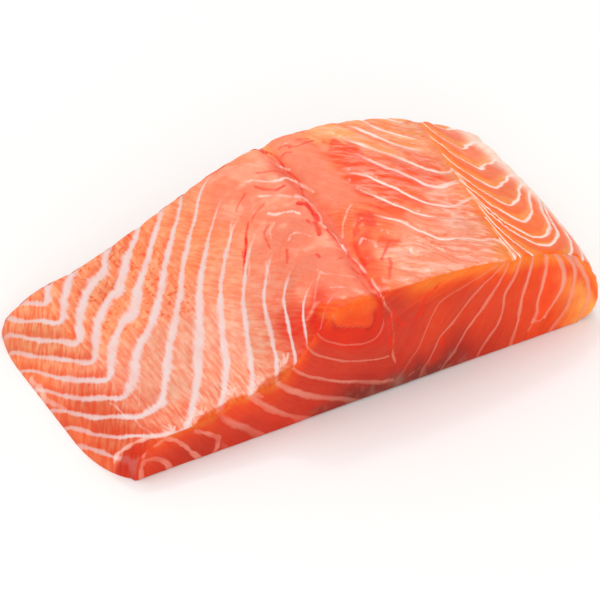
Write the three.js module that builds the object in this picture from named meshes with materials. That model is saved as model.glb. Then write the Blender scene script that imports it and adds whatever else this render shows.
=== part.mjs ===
import * as THREE from 'three';

// A raw salmon fillet portion without its skin, cut straight across one side of the fish.
// Millimetres, +Z up. The base is flat and the origin is the middle of the base.
//
// The form is worked out in u, v and z: u runs from the thin belly edge to the round back, v from
// the front cut to the rear cut, and z up from the base. The flesh is a stack of folded muscle
// sheets. Each sheet shows as a V on the belly, as slanting lines on the loin, as a V again on
// the back and as rings on the two cuts, and the flesh swells a little between one sheet and
// the next.

const { smoothstep, lerp, clamp } = THREE.MathUtils;

// ---- Driving dimensions -----------------------------------------------------------------

const LENGTH = 158.3; // belly edge to the line that the back draws in from
const WIDTH = 73.8; // front cut to rear cut

// Plan outline
const BELLY_CORNER = { reach: 22, cut: 10.4 }; // round corner of the belly edge and the front cut
const BELLY_REAR = { reach: 17, cut: 2.8 }; // slighter corner at the rear cut
const BACK_SWEEP = { reach: 95, cut: 8.8 }; // the back draws in towards the front cut
const BACK_CORNER = { reach: 12, cut: 1 }; // and a little more beside it

// Height of the top along the front cut and along the rear cut
const BEVEL = { run: 18, edge: 1.6, power: 1.8 }; // the belly thins over this run
const FRONT = {
  bevel: 10.0,
  belly: { rise: 3.8, from: 20, to: 44 },
  shoulder: { rise: 17.9, from: 46, to: 68 },
  fall: { from: 88, rate: 0.003 },
};
const REAR = {
  bevel: 10.0,
  belly: { rise: 0.5, from: 20, to: 44 },
  shoulder: { rise: 24.4, from: 10, to: 92 },
  fall: { from: 96, rate: 0.006 },
};

// Dome of the back: a quarter oval that falls from the ridge to the tip
const DOME_RUN = { front: 32, rear: 41 };
const DOME_TOP = { front: 31.2, rear: 34.1 };
const DOME_LIFT = 0.3; // slope that keeps the dome clear of the loin
const TIP_HEIGHT = 7; // height of the outermost point of the back
const TIP_TUCK = 6; // how far the base draws in under the tip
const BLEND = 2.5; // softness of the ridge between the loin and the dome

// Seams
const SEPTUM = { u: 78.5, drift: 5.5, from: 4, to: 40 }; // line of the backbone
const SEPTUM_GROOVE = { depth: 1.3, width: 1.8 };
const RIDGE = { u: 119.5, slant: 0.21 }; // line between the loin and the back
const RIDGE_GROOVE = { depth: 0.6, width: 1.6 };

// Edges
const WALL_ROUND = 2.0; // belly wall
const CUT_ROUND = 1.8; // upper edge of each cut
const BASE_ROUND = 0.8; // lower edge of each cut

// Muscle sheets
const SHEET_PITCH = 9.65; // one sheet to the next along the fish
const CORE = { u: 72, z: 30 }; // middle of the rings on a cut
const RING_PITCH = 7.2;
const FAN = { foot: 119, head: 126, footPitch: 10, headPitch: 4.3, height: 28 };
const FLAKE_SWELL = 0.55; // flesh between two sheets, above the sheets
const FLAKE_MEAN = 0.76; // mean of that swell, which leaves the size as it is
const FLAKE_FADE = 2.5; // height over which the swell grows from the base
const SEAM_MARGIN = 2.5; // bare strip beside the septum and the ridge
const CUT_FACING = { from: 0.5, to: 0.9 }; // how square to a cut the flesh turns from top to cut

// How far a sheet runs back from its foremost point, across the fish: [place, distance] pairs.
const BELLY_FOLD = [
  [0, 25], [6, 11], [13.5, 0], [21, 11.5], [36, 26],
  [50, 45], [60, 59], [70, 63], [80, 56],
];
const LOIN_FOLD = [[-36, 2], [-28, -6], [-20, -16], [-11, -24], [0, -24]];
const BACK_FOLD = [[-1, 50], [1, 28], [4.4, 8.8], [10, 0], [16, 0]];
// The same beyond that point, by the distance from the outermost line of the back.
const BACK_ARM = [[3.5, 50], [7.2, 30], [9.5, 19], [11.5, 11.5], [15.5, 4.5], [20.5, 0], [26.5, 0]];
const BELLY_START = 9.1; // a foremost point on the belly, from the front cut
const LOIN_START = 32.5; // the same for the loin
// The back's sheets by number: [foremost point, number] pairs.
const BACK_SHEETS = [[-64, -7], [-4, -1], [4.7, 0], [8.7, 1], [16.7, 2], [34.3, 4], [67.4, 7], [87, 9]];
const LOIN_SHEETS_FROM = -36; // the flesh nearer the backbone is smooth

// Mesh
const ACROSS = 92; // segments along a section, from the base over the top to the base
const ALONG = 28; // segments from one cut to the other
const CUT_ROWS = 12; // rows from the top of a cut to its base
const EDGE_ROWS = 3; // of which this many turn round the upper edge
const SECTION_SAMPLES = 900;
const TUCK_SAMPLES = 20;

// ---- Form -------------------------------------------------------------------------------

function cubicAt(knots, x) {
  const last = knots.length - 1;
  const inside = clamp(x, knots[0][0], knots[last][0]);
  let i = 0;
  while (i < last - 1 && inside > knots[i + 1][0]) i += 1;
  const slope = (k) => {
    const [a, b] = [knots[Math.max(k - 1, 0)], knots[Math.min(k + 1, last)]];
    return (b[1] - a[1]) / (b[0] - a[0]);
  };
  const [p, q] = [knots[i], knots[i + 1]];
  const span = q[0] - p[0];
  const t = (inside - p[0]) / span;
  const rise = t * t * (3 - 2 * t);
  const easeOut = t * (1 - t) ** 2;
  const easeIn = t * t * (t - 1);
  return lerp(p[1], q[1], rise) + span * (easeOut * slope(i) + easeIn * slope(i + 1));
}

function softMin(a, b, softness) {
  const share = clamp(0.5 + (0.5 * (b - a)) / softness, 0, 1);
  return lerp(b, a, share) - softness * share * (1 - share);
}

function groove({ depth, width }, distance) {
  return depth * Math.exp(-((distance / width) ** 2));
}

function drawIn({ reach, cut }, distance) {
  return cut * Math.max(1 - distance / reach, 0) ** 2;
}

function bellyEdge(v) {
  const turn = clamp(1 - v / BELLY_CORNER.reach, 0, 1);
  return BELLY_CORNER.cut * (1 - Math.sqrt(1 - turn ** 2)) + drawIn(BELLY_REAR, WIDTH - v);
}

function backEdge(v) {
  return LENGTH - drawIn(BACK_SWEEP, v) - drawIn(BACK_CORNER, v);
}

const septumAt = (v) => SEPTUM.u + SEPTUM.drift * smoothstep(v, SEPTUM.from, SEPTUM.to);
const ridgeAt = (v) => RIDGE.u + RIDGE.slant * v;

function sectionTop(u, shape) {
  const thinning = (1 - clamp(u / BEVEL.run, 0, 1)) ** BEVEL.power;
  const belly = shape.belly.rise * smoothstep(u, shape.belly.from, shape.belly.to);
  const shoulder = shape.shoulder.rise * smoothstep(u, shape.shoulder.from, shape.shoulder.to);
  const fall = shape.fall.rate * Math.max(u - shape.fall.from, 0) ** 2;
  return BEVEL.edge + shape.bevel * (1 - thinning) + belly + shoulder - fall;
}

function dome(u, v) {
  const run = lerp(DOME_RUN.front, DOME_RUN.rear, v / WIDTH);
  const peak = lerp(DOME_TOP.front, DOME_TOP.rear, v / WIDTH);
  const out = (u - (backEdge(v) - run)) / run;
  if (out < 0) return peak - DOME_LIFT * run * out;
  return TIP_HEIGHT + (peak - TIP_HEIGHT) * Math.sqrt(1 - Math.min(out, 1) ** 2);
}

function heightAt(u, v) {
  const top = lerp(sectionTop(u, FRONT), sectionTop(u, REAR), v / WIDTH);
  const body = softMin(top, dome(u, v), BLEND);
  const grooves = groove(SEPTUM_GROOVE, u - septumAt(v)) + groove(RIDGE_GROOVE, u - ridgeAt(v));
  const wall = clamp((u - bellyEdge(v)) / WALL_ROUND, 0, 1);
  return (body - grooves) * Math.sqrt(1 - (1 - wall) ** 2);
}

// One section across the fillet, from the belly base over the top to the base of the back, as
// evenly spaced points.
function section(v) {
  const [from, to] = [bellyEdge(v), backEdge(v)];
  const fine = [];
  for (let i = 0; i <= SECTION_SAMPLES; i += 1) {
    const u = lerp(from, to, 0.5 - 0.5 * Math.cos((Math.PI * i) / SECTION_SAMPLES));
    fine.push(new THREE.Vector2(u, heightAt(u, v)));
  }
  for (let i = 1; i <= TUCK_SAMPLES; i += 1) {
    const turn = (0.5 * Math.PI * i) / TUCK_SAMPLES;
    const inward = TIP_TUCK * (1 - Math.cos(turn));
    fine.push(new THREE.Vector2(to - inward, TIP_HEIGHT * (1 - Math.sin(turn))));
  }
  const path = new THREE.CurvePath();
  fine.slice(1).forEach((point, i) => path.add(new THREE.LineCurve(fine[i], point)));
  return path.getSpacedPoints(ACROSS);
}

// ---- Muscle sheets ----------------------------------------------------------------------

// Each function numbers the sheets: it is a whole number on a sheet.

function ringNumber(u, z) {
  return Math.hypot(u - CORE.u, z - CORE.z) / RING_PITCH;
}

function fanNumber(u, z) {
  const climb = z / FAN.height;
  return (u - lerp(FAN.foot, FAN.head, climb)) / lerp(FAN.footPitch, FAN.headPitch, climb);
}

function topNumber(u, v) {
  const pastRidge = u - ridgeAt(v);
  if (u < septumAt(v)) return (v - BELLY_START - cubicAt(BELLY_FOLD, u)) / SHEET_PITCH;
  if (pastRidge < 0) return (v - LOIN_START - cubicAt(LOIN_FOLD, pastRidge)) / SHEET_PITCH;
  const arm = cubicAt(BACK_ARM, backEdge(v) - u);
  return cubicAt(BACK_SHEETS, v - cubicAt(BACK_FOLD, pastRidge) - arm);
}

// Swell of the flesh at a point, measured along the surface normal.
function flakeSwell(point, normal) {
  const { x: u, y: v, z } = point;
  const onCut = smoothstep(Math.abs(normal.y), CUT_FACING.from, CUT_FACING.to);
  const seamGap = Math.min(Math.abs(u - septumAt(v)), Math.abs(u - ridgeAt(v)));
  const cutNumber = u < septumAt(v) ? ringNumber(u, z) : fanNumber(u, z);
  const ripple = (number) => Math.sqrt(Math.abs(Math.sin(Math.PI * number))) - FLAKE_MEAN;
  const smooth = u > septumAt(v) && u - ridgeAt(v) < LOIN_SHEETS_FROM;
  const topSwell = smooth ? 0 : ripple(topNumber(u, v)) * smoothstep(seamGap, 0, SEAM_MARGIN);
  return FLAKE_SWELL * lerp(topSwell, ripple(cutNumber), onCut) * smoothstep(z, 0, FLAKE_FADE);
}

// ---- Mesh -------------------------------------------------------------------------------

function distanceToSection(u, z, points) {
  const here = new THREE.Vector3(u, z, 0);
  const near = new THREE.Vector3();
  const edge = new THREE.Line3();
  let best = Infinity;
  for (let i = 1; i < points.length; i += 1) {
    edge.start.set(points[i - 1].x, points[i - 1].y, 0);
    edge.end.set(points[i].x, points[i].y, 0);
    edge.closestPointToPoint(here, true, near);
    best = Math.min(best, near.distanceTo(here));
  }
  return best;
}

function roundOff(depth, radius) {
  return radius - Math.sqrt(radius ** 2 - (radius - Math.min(depth, radius)) ** 2);
}

// Share of the way down a cut for one row: the first rows turn round the upper edge.
function rowShare(row, drop) {
  const turned = CUT_ROUND * (1 - Math.cos((0.5 * Math.PI * Math.min(row, EDGE_ROWS)) / EDGE_ROWS));
  const edgeShare = Math.min(turned / Math.max(drop, CUT_ROUND), row / CUT_ROWS);
  return row <= EDGE_ROWS ? edgeShare : lerp(edgeShare, 1, (row - EDGE_ROWS) / (CUT_ROWS - EDGE_ROWS));
}

function filletGeometry() {
  const positions = [];
  const triangles = [];
  const addPoint = (u, v, z) => positions.push(u, v, z) / 3 - 1;
  const addTriangle = (a, b, c) => {
    if (a !== b && b !== c && c !== a) triangles.push(a, b, c);
  };
  const addQuad = (a, b, c, d) => {
    addTriangle(a, b, d);
    addTriangle(b, c, d);
  };

  // Sections from the front cut to the rear cut.
  const sections = [];
  const rings = [];
  for (let j = 0; j <= ALONG; j += 1) {
    const v = lerp(CUT_ROUND, WIDTH - CUT_ROUND, j / ALONG);
    sections.push(section(v));
    rings.push(sections[j].map((point) => addPoint(point.x, v, point.y)));
  }
  for (let j = 0; j < ALONG; j += 1) {
    for (let i = 0; i < ACROSS; i += 1) {
      addQuad(rings[j][i], rings[j][i + 1], rings[j + 1][i + 1], rings[j + 1][i]);
    }
  }

  // A cut: rows from the end section down to a straight line on the base.
  const addCut = (points, ring, depthToV, facesRear) => {
    const [from, to] = [points[0].x, points[ACROSS].x];
    let above = ring;
    for (let row = 1; row <= CUT_ROWS; row += 1) {
      const line = points.map((point, i) => {
        if (i === 0 || i === ACROSS) return ring[i];
        const foot = new THREE.Vector2(lerp(from, to, i / ACROSS), 0);
        const share = rowShare(row, point.distanceTo(foot));
        const spot = point.clone().lerp(foot, share);
        const under = distanceToSection(spot.x, spot.y, points);
        const inset = Math.max(roundOff(under, CUT_ROUND), roundOff(spot.y, BASE_ROUND));
        return addPoint(spot.x, depthToV(inset), spot.y);
      });
      const [lower, upper] = facesRear ? [above, line] : [line, above];
      for (let i = 0; i < ACROSS; i += 1) {
        addQuad(lower[i], lower[i + 1], upper[i + 1], upper[i]);
      }
      above = line;
    }
    return above;
  };
  const frontFoot = addCut(sections[0], rings[0], (inset) => inset, false);
  const rearFoot = addCut(sections[ALONG], rings[ALONG], (inset) => WIDTH - inset, true);

  // The flat base, bounded by the two feet and by the ends of the sections.
  const bellySide = rings.slice(1, -1).map((ring) => ring[0]);
  const backSide = rings.slice(1, -1).map((ring) => ring[ACROSS]);
  const outline = [...frontFoot, ...backSide, ...rearFoot.toReversed(), ...bellySide.toReversed()];
  const flat = outline.map((k) => new THREE.Vector2(positions[3 * k], positions[3 * k + 1]));
  THREE.ShapeUtils.triangulateShape(flat, []).forEach(([a, b, c]) => {
    triangles.push(outline[a], outline[c], outline[b]);
  });

  const geometry = new THREE.BufferGeometry();
  geometry.setAttribute('position', new THREE.Float32BufferAttribute(positions, 3));
  geometry.setIndex(triangles);
  return geometry;
}

// Push every point out along its normal by the swell of the flesh.
function swell(geometry) {
  geometry.computeVertexNormals();
  const { position, normal } = geometry.attributes;
  for (let i = 0; i < position.count; i += 1) {
    const point = new THREE.Vector3().fromBufferAttribute(position, i);
    const outward = new THREE.Vector3().fromBufferAttribute(normal, i);
    point.addScaledVector(outward, flakeSwell(point, outward));
    position.setXYZ(i, point.x, point.y, point.z);
  }
}

const flesh = filletGeometry();
swell(flesh);
flesh.computeBoundingBox();
const middle = flesh.boundingBox.getCenter(new THREE.Vector3());
flesh.translate(-middle.x, -middle.y, 0);
flesh.computeVertexNormals();

const salmon = new THREE.MeshStandardMaterial({ color: '#f2795a', roughness: 0.35, metalness: 0 });
const fillet = new THREE.Mesh(flesh, salmon);
fillet.name = 'salmon_fillet';

const portion = new THREE.Group();
portion.add(fillet);

export default portion;
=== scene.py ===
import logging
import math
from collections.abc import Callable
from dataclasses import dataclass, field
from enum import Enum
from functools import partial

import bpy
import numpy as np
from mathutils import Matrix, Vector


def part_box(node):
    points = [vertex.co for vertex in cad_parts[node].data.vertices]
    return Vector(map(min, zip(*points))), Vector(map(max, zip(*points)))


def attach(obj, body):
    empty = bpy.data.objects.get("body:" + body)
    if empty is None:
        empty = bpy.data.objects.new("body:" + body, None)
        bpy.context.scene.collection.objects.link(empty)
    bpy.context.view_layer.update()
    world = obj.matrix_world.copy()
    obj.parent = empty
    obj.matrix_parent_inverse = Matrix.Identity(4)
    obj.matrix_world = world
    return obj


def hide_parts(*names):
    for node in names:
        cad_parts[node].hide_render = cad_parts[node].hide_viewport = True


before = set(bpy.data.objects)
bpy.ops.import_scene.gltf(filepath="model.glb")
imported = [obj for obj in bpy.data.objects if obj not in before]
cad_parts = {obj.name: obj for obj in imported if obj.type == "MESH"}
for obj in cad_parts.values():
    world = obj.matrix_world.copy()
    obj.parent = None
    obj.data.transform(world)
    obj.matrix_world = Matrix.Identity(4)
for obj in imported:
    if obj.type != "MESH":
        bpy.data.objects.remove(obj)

# A raw salmon fillet portion without its skin, cut straight across one side of the fish.
#
# The flesh is one fine closed skin of quads in the form of the solid it replaces. Sizes are in
# millimetres: u runs from the thin belly edge to the round back, v from the front cut to the rear
# cut and z up from the base. Every point carries, as attributes, the number of its muscle sheet,
# which is a whole number on a white seam, and what else it is made of. Geometry Nodes swell the
# flesh between the seams, and the flesh's finish draws its seams, fibres and tears from the same
# attributes.

Array = np.ndarray
Knots = tuple[tuple[float, float], ...]

NODE = "salmon_fillet"
BODY = "root"
MM = 0.001
CUT_FACING = 0.72  # a point this much square to a cut belongs to it
BELLY_PITCH = 9.65  # mm from one sheet of the belly to the next
TINY = 1e-12  # keeps a length that is divided by above nothing
log = logging.getLogger("salmon_fillet")


# ---- Sums ---------------------------------------------------------------------------------

def smoothstep(x: Array, low: float, high: float) -> Array:
    """Rises softly from 0 at low to 1 at high; low may be the greater of the two."""
    t = np.clip((x - low) / (high - low), 0.0, 1.0)
    return t * t * (3.0 - 2.0 * t)


def lerp(a: Array, b: Array, share: Array) -> Array:
    """The value a share of the way from a to b."""
    return a + (b - a) * share


def curve(knots: Knots, x: Array) -> Array:
    """Smooth curve through knots, straight beyond both ends.

    Args:
        knots: (place, value) pairs in order of place.
        x: Places to read the curve at.

    Returns:
        The values at those places.
    """
    places, values = np.array(knots, float).T
    slopes = np.gradient(values, places)
    i = np.clip(np.searchsorted(places, x) - 1, 0, len(places) - 2)
    span = places[i + 1] - places[i]
    t = (x - places[i]) / span
    inside = np.clip(t, 0.0, 1.0)
    rise = inside * inside * (3.0 - 2.0 * inside)
    ease_out = inside * (1.0 - inside) ** 2
    ease_in = inside * inside * (inside - 1.0)
    bent = lerp(values[i], values[i + 1], rise)
    bent = bent + span * (ease_out * slopes[i] + ease_in * slopes[i + 1])
    return bent + span * (t - inside) * np.where(t > 1.0, slopes[i + 1], slopes[i])


def soft_min(a: Array, b: Array, softness: float) -> Array:
    """The lesser of a and b, rounded off where they meet."""
    share = np.clip(0.5 + 0.5 * (b - a) / softness, 0.0, 1.0)
    return lerp(b, a, share) - softness * share * (1.0 - share)


def bell(x: Array, middle: Array | float, width: float) -> Array:
    """Rises softly to 1 at the middle and falls off to about a third a width away."""
    return np.exp(-((x - middle) / width) ** 2)


def linear(hex_colour: str) -> Array:
    """Turns an sRGB hex colour such as "#fa9177" to linear red, green and blue."""
    srgb = np.array([int(hex_colour[i:i + 2], 16) / 255.0 for i in (1, 3, 5)])
    return np.where(srgb <= 0.04045, srgb / 12.92, ((srgb + 0.055) / 1.055) ** 2.4)


def opaque(hex_colour: str) -> tuple[float, float, float, float]:
    """The same with an alpha of 1, as a shader's socket takes it."""
    return (*linear(hex_colour), 1.0)


class Grain(Enum):
    """Widths in mm of the bumps that colour and relief are drawn with."""

    FINE = 1.6
    SMALL = 3.5
    MIDDLE = 7.0
    BROAD = 15.0


class Unevenness:
    """Soft seeded bumps over a plane, from -1 to 1."""

    CELLS = 256

    def __init__(self, seed: int, size: float) -> None:
        """Fixes the pattern by its seed and by the width of a bump in mm."""
        self.size = size
        self.grid = np.random.default_rng(seed).uniform(-1.0, 1.0, (self.CELLS, self.CELLS))

    def at(self, a: Array, b: Array) -> Array:
        """Reads the bumps.

        Args:
            a: Places along the plane in mm.
            b: Places across it.

        Returns:
            Heights from -1 to 1.
        """
        p, q = a / self.size, b / self.size
        i, j = np.floor(p).astype(int), np.floor(q).astype(int)
        s, t = smoothstep(p - i, 0.0, 1.0), smoothstep(q - j, 0.0, 1.0)
        corner = [[self.grid[(i + di) % self.CELLS, (j + dj) % self.CELLS] for dj in (0, 1)]
                  for di in (0, 1)]
        return lerp(lerp(corner[0][0], corner[1][0], s), lerp(corner[0][1], corner[1][1], s), t)


# ---- Form ---------------------------------------------------------------------------------

@dataclass(frozen=True)
class Top:
    """Height of the top along one cut: the bevel of the belly, a rise on it and the shoulder."""

    bevel: float
    belly_rise: float
    belly_run: tuple[float, float]
    shoulder_rise: float
    shoulder_run: tuple[float, float]
    fall_from: float
    fall_rate: float
    bevel_run: float = 18.0
    bevel_edge: float = 1.6
    bevel_power: float = 1.8

    def height(self, u: Array) -> Array:
        """Works out the height of the top.

        Args:
            u: Places across the fish.

        Returns:
            Heights in mm.
        """
        thinning = (1.0 - np.clip(u / self.bevel_run, 0.0, 1.0)) ** self.bevel_power
        belly = self.belly_rise * smoothstep(u, *self.belly_run)
        shoulder = self.shoulder_rise * smoothstep(u, *self.shoulder_run)
        fall = self.fall_rate * np.maximum(u - self.fall_from, 0.0) ** 2
        return self.bevel_edge + self.bevel * (1.0 - thinning) + belly + shoulder - fall


def draw_in(corner: tuple[float, float], distance: Array) -> Array:
    """How far an edge draws in beside a cut; corner holds the reach along the edge and the depth."""
    reach, cut = corner
    return cut * np.maximum(1.0 - distance / reach, 0.0) ** 2


@dataclass(frozen=True)
class Portion:
    """The fillet's outline and the form of its top, as in the solid."""

    length: float = 158.3
    width: float = 73.8
    belly_corner: tuple[float, float] = (22.0, 10.4)  # reach along the edge, cut into it
    belly_rear: tuple[float, float] = (17.0, 2.8)
    back_sweep: tuple[float, float] = (95.0, 8.8)
    back_corner: tuple[float, float] = (12.0, 1.0)
    front: Top = Top(bevel=10.0, belly_rise=3.8, belly_run=(20, 44), shoulder_rise=17.9,
                     shoulder_run=(46, 68), fall_from=88.0, fall_rate=0.003)
    rear: Top = Top(bevel=10.0, belly_rise=0.5, belly_run=(20, 44), shoulder_rise=24.4,
                    shoulder_run=(10, 92), fall_from=96.0, fall_rate=0.006)
    dome_run: tuple[float, float] = (32.0, 41.0)
    dome_top: tuple[float, float] = (31.2, 34.1)
    dome_lift: float = 0.3
    tip_height: float = 7.0
    tip_tuck: float = 6.0
    blend: float = 2.5
    septum_groove: tuple[float, float] = (1.3, 1.8)  # depth, width
    ridge_groove: tuple[float, float] = (0.6, 1.6)
    wall_round: float = 2.0
    cut_round: float = 1.8
    base_round: float = 0.8
    septum_start: float = 78.5  # u of the backbone's line at the front cut
    septum_shift: float = 5.5  # how far it moves to the back over the run along v
    septum_run: tuple[float, float] = (4.0, 40.0)
    septum_lean: float = 0.16  # the same for each mm down a cut, from the top of the septum
    septum_top: float = 33.0
    ridge_start: float = 119.5
    ridge_lean: float = 0.21

    def belly_edge(self, v: Array) -> Array:
        """Works out the belly edge.

        Args:
            v: Places along the fish.

        Returns:
            u of the edge.
        """
        reach, cut = self.belly_corner
        turn = np.clip(1.0 - v / reach, 0.0, 1.0)
        return cut * (1.0 - np.sqrt(1.0 - turn ** 2)) + draw_in(self.belly_rear, self.width - v)

    def back_edge(self, v: Array) -> Array:
        """u of the outermost point of the back."""
        return self.length - draw_in(self.back_sweep, v) - draw_in(self.back_corner, v)

    def septum(self, v: Array) -> Array:
        """u of the line of the backbone on the top."""
        return self.septum_start + self.septum_shift * smoothstep(v, *self.septum_run)

    def septum_on_cut(self, v: Array, z: Array) -> Array:
        """u of the same line down a cut."""
        return self.septum(v) + self.septum_lean * (self.septum_top - z)

    def ridge(self, v: Array) -> Array:
        """u of the line between the loin and the back."""
        return self.ridge_start + self.ridge_lean * v

    def dome(self, u: Array, v: Array) -> Array:
        """Works out the quarter oval that falls from the ridge to the tip of the back.

        Args:
            u: Places across the fish.
            v: Places along it.

        Returns:
            Heights in mm.
        """
        run = lerp(*self.dome_run, v / self.width)
        peak = lerp(*self.dome_top, v / self.width)
        out = (u - (self.back_edge(v) - run)) / run
        fall = np.sqrt(1.0 - np.clip(out, 0.0, 1.0) ** 2)
        return np.where(out < 0.0, peak - self.dome_lift * run * out, lerp(self.tip_height, peak, fall))

    def height(self, u: Array, v: Array) -> Array:
        """Works out the height of the whole top.

        Args:
            u: Places across the fish.
            v: Places along it.

        Returns:
            Heights in mm.
        """
        slope = lerp(self.front.height(u), self.rear.height(u), v / self.width)
        body = soft_min(slope, self.dome(u, v), self.blend)
        grooves = (self.septum_groove, self.septum(v)), (self.ridge_groove, self.ridge(v))
        for (depth, width), line in grooves:
            body = body - depth * bell(u, line, width)
        wall = np.clip((u - self.belly_edge(v)) / self.wall_round, 0.0, 1.0)
        return body * np.sqrt(1.0 - (1.0 - wall) ** 2)

    def section(self, v: float, segments: int, samples: int = 1200, tuck_samples: int = 24) -> Array:
        """One section across the fillet, from the belly base over the top to the base of the back.

        Args:
            v: Place of the section along the fish.
            segments: Number of even steps round the section.
            samples: Fine points over the top that the even ones are read from.
            tuck_samples: Fine points under the tip of the back.

        Returns:
            Points (u, z), segments + 1 of them.
        """
        start, end = self.belly_edge(v), self.back_edge(v)
        u = lerp(start, end, 0.5 - 0.5 * np.cos(np.linspace(0.0, np.pi, samples + 1)))
        z = self.height(u, v)
        turn = np.linspace(0.0, np.pi / 2.0, tuck_samples + 1)[1:]
        u = np.append(u, end - self.tip_tuck * (1.0 - np.cos(turn)))
        z = np.append(z, self.tip_height * (1.0 - np.sin(turn)))
        run = np.append(0.0, np.cumsum(np.hypot(np.diff(u), np.diff(z))))
        even = np.linspace(0.0, run[-1], segments + 1)
        return np.column_stack([np.interp(even, run, u), np.interp(even, run, z)])


# ---- Muscle sheets ------------------------------------------------------------------------

@dataclass(frozen=True)
class MuscleSheets:
    """Numbers the folded muscle sheets: each method gives a whole number on a seam."""

    portion: Portion
    belly_start: float = 9.1
    # How far a seam runs back from its foremost point, across the fish: (u, distance) pairs.
    belly_front: Knots = ((0, 33), (3, 20), (6, 13), (10, 8), (14, 3.5), (18, 0.6), (20.5, 0), (23, 1.5),
                          (27, 5), (33, 11.5), (42, 21.5), (47, 28), (51, 33.5), (55, 43), (58, 52),
                          (60, 57), (64, 62), (71, 64), (75, 61), (80, 56), (86, 52))
    belly_middle: Knots = ((0, 27), (2, 21), (6, 11), (10, 4.2), (13.3, 0), (17, 5.5), (21, 11.5), (25, 16),
                           (30, 19.6), (36, 26), (42, 33.5), (48, 43), (53, 50), (58, 56), (63, 61),
                           (68, 63.5), (71, 64), (75, 61), (80, 56), (86, 52))
    belly_turn: tuple[float, float] = (-5.5, 40.5)  # v over which the front's way turns to the middle's
    rear_sag: float = 4.5  # the belly's seams run less far back near the rear cut
    sag_run: tuple[float, float] = (50.0, 76.0)
    sag_middle: float = 50.0
    sag_width: float = 9.0
    # Seams of the loin, from the septum to the ridge: (u, v) pairs.
    loin_lines: tuple[Knots, ...] = (
        ((95, 29.2), (97.5, 26.7), (100, 23), (101.8, 19.5), (103.2, 16.5), (105.6, 13.9), (107.8, 12.7),
         (110.6, 13), (113, 12.1), (115.6, 10.2), (119.4, 10.4), (121.5, 8)),
        ((97, 41.1), (99.5, 36.3), (102, 31.5), (104.2, 27.6), (106.7, 24.2), (109.5, 23), (116, 21.2),
         (123, 21.7)),
        ((97, 50.5), (99.5, 48), (102.5, 45), (104, 42), (106.8, 36.6), (108.5, 32.8), (110.8, 30),
         (113.8, 27.9), (117.5, 26.7), (122, 28.5), (125, 30)),
        ((105.3, 54.5), (107.8, 50), (110.2, 47), (112.6, 43.8), (114.9, 39.6), (117.8, 37.1), (122, 37),
         (126, 38.5)),
        ((105.3, 64.5), (108.8, 60.2), (111.5, 56.6), (115, 53.8), (117.2, 50.5), (119.6, 46.9),
         (123.3, 43.9), (126.4, 43.2), (130, 46)),
        ((110, 69.9), (113.8, 65.8), (116.4, 62), (118.6, 58.9), (121.8, 56.4), (126, 56), (131, 58)),
        ((115, 74), (116.6, 71.2), (118.4, 67.6), (121.6, 64.6), (124.8, 62.2), (128, 61), (133, 63)),
    )
    loin_pitch: float = 9.65
    # How far a seam of the back runs behind its foremost point, by the distance past the ridge.
    back_fold: Knots = ((-0.6, 50), (0, 36), (0.6, 26), (1.5, 18.6), (2.7, 13.8), (3.9, 9.8), (6, 5.8),
                        (7.9, 2.7), (9.4, 0.7), (10.2, 0.05), (10.6, 0), (16, 0))
    fold_shift: float = 1.3  # the fold moves this far from the ridge towards the rear
    fold_run: tuple[float, float] = (26.0, 50.0)
    # The same beyond its foremost point, by the distance from the outermost line of the back.
    back_arm: Knots = ((3.5, 44), (4.7, 27), (6, 22.2), (7.9, 17.2), (9.2, 14), (10.4, 11), (12.3, 6.6),
                       (15.4, 2.8), (17.6, 0.6), (18.6, 0), (24, 0))
    arm_shift: float = 3.5  # the arm lies this much nearer the ridge at the front cut
    arm_run: tuple[float, float] = (26.0, 2.0)
    rear_arm: tuple[float, float] = (17.6, 0.85)  # where the arm starts near the rear cut, and its slope
    rear_arm_run: tuple[float, float] = (28.0, 50.0)
    # The back's sheets by number: (foremost point from the front cut, number) pairs.
    back_sheets: Knots = ((-64, -7), (-4, -1), (4.7, 0), (8.7, 1), (16.7, 2), (24.9, 3), (34.3, 4),
                          (45.5, 5), (56.7, 6), (67.4, 7), (77.5, 8))
    # Rings on a cut about the core, drawn out towards the foot of the septum.
    core: tuple[float, float] = (72.0, 30.0)
    core_shift: tuple[float, float] = (-2.0, 0.5)  # of the inner rings from the outer ones
    inner_run: tuple[float, float] = (20.0, 13.0)  # mm from the core
    rings: tuple[float, ...] = (0.0, 5.8, 9.7, 14.8, 21.8, 27.2, 34.2, 42.0, 49.0, 57.0, 65.0, 73.0)
    # How far the rings are drawn out, by degrees from straight down towards the back.
    ring_stretch: Knots = ((-180, 1.2), (-100, 1.2), (-67, 1.05), (-30, 0.97), (-10, 1.02), (7, 1.14),
                           (20, 1.3), (32, 1.42), (45, 1.33), (66, 1.1), (100, 1.0), (180, 1.0))
    # Flat sides of the core itself: the way each faces, across and down, and its distance from the middle.
    core_sides: tuple[tuple[float, float, float], ...] = (
        (-0.40, 0.917, 4.21), (-0.89, 0.457, 4.93), (1.0, 0.0, 6.7))
    core_run: tuple[float, float] = (8.5, 4.5)  # mm from the middle over which they turn flat
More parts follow.
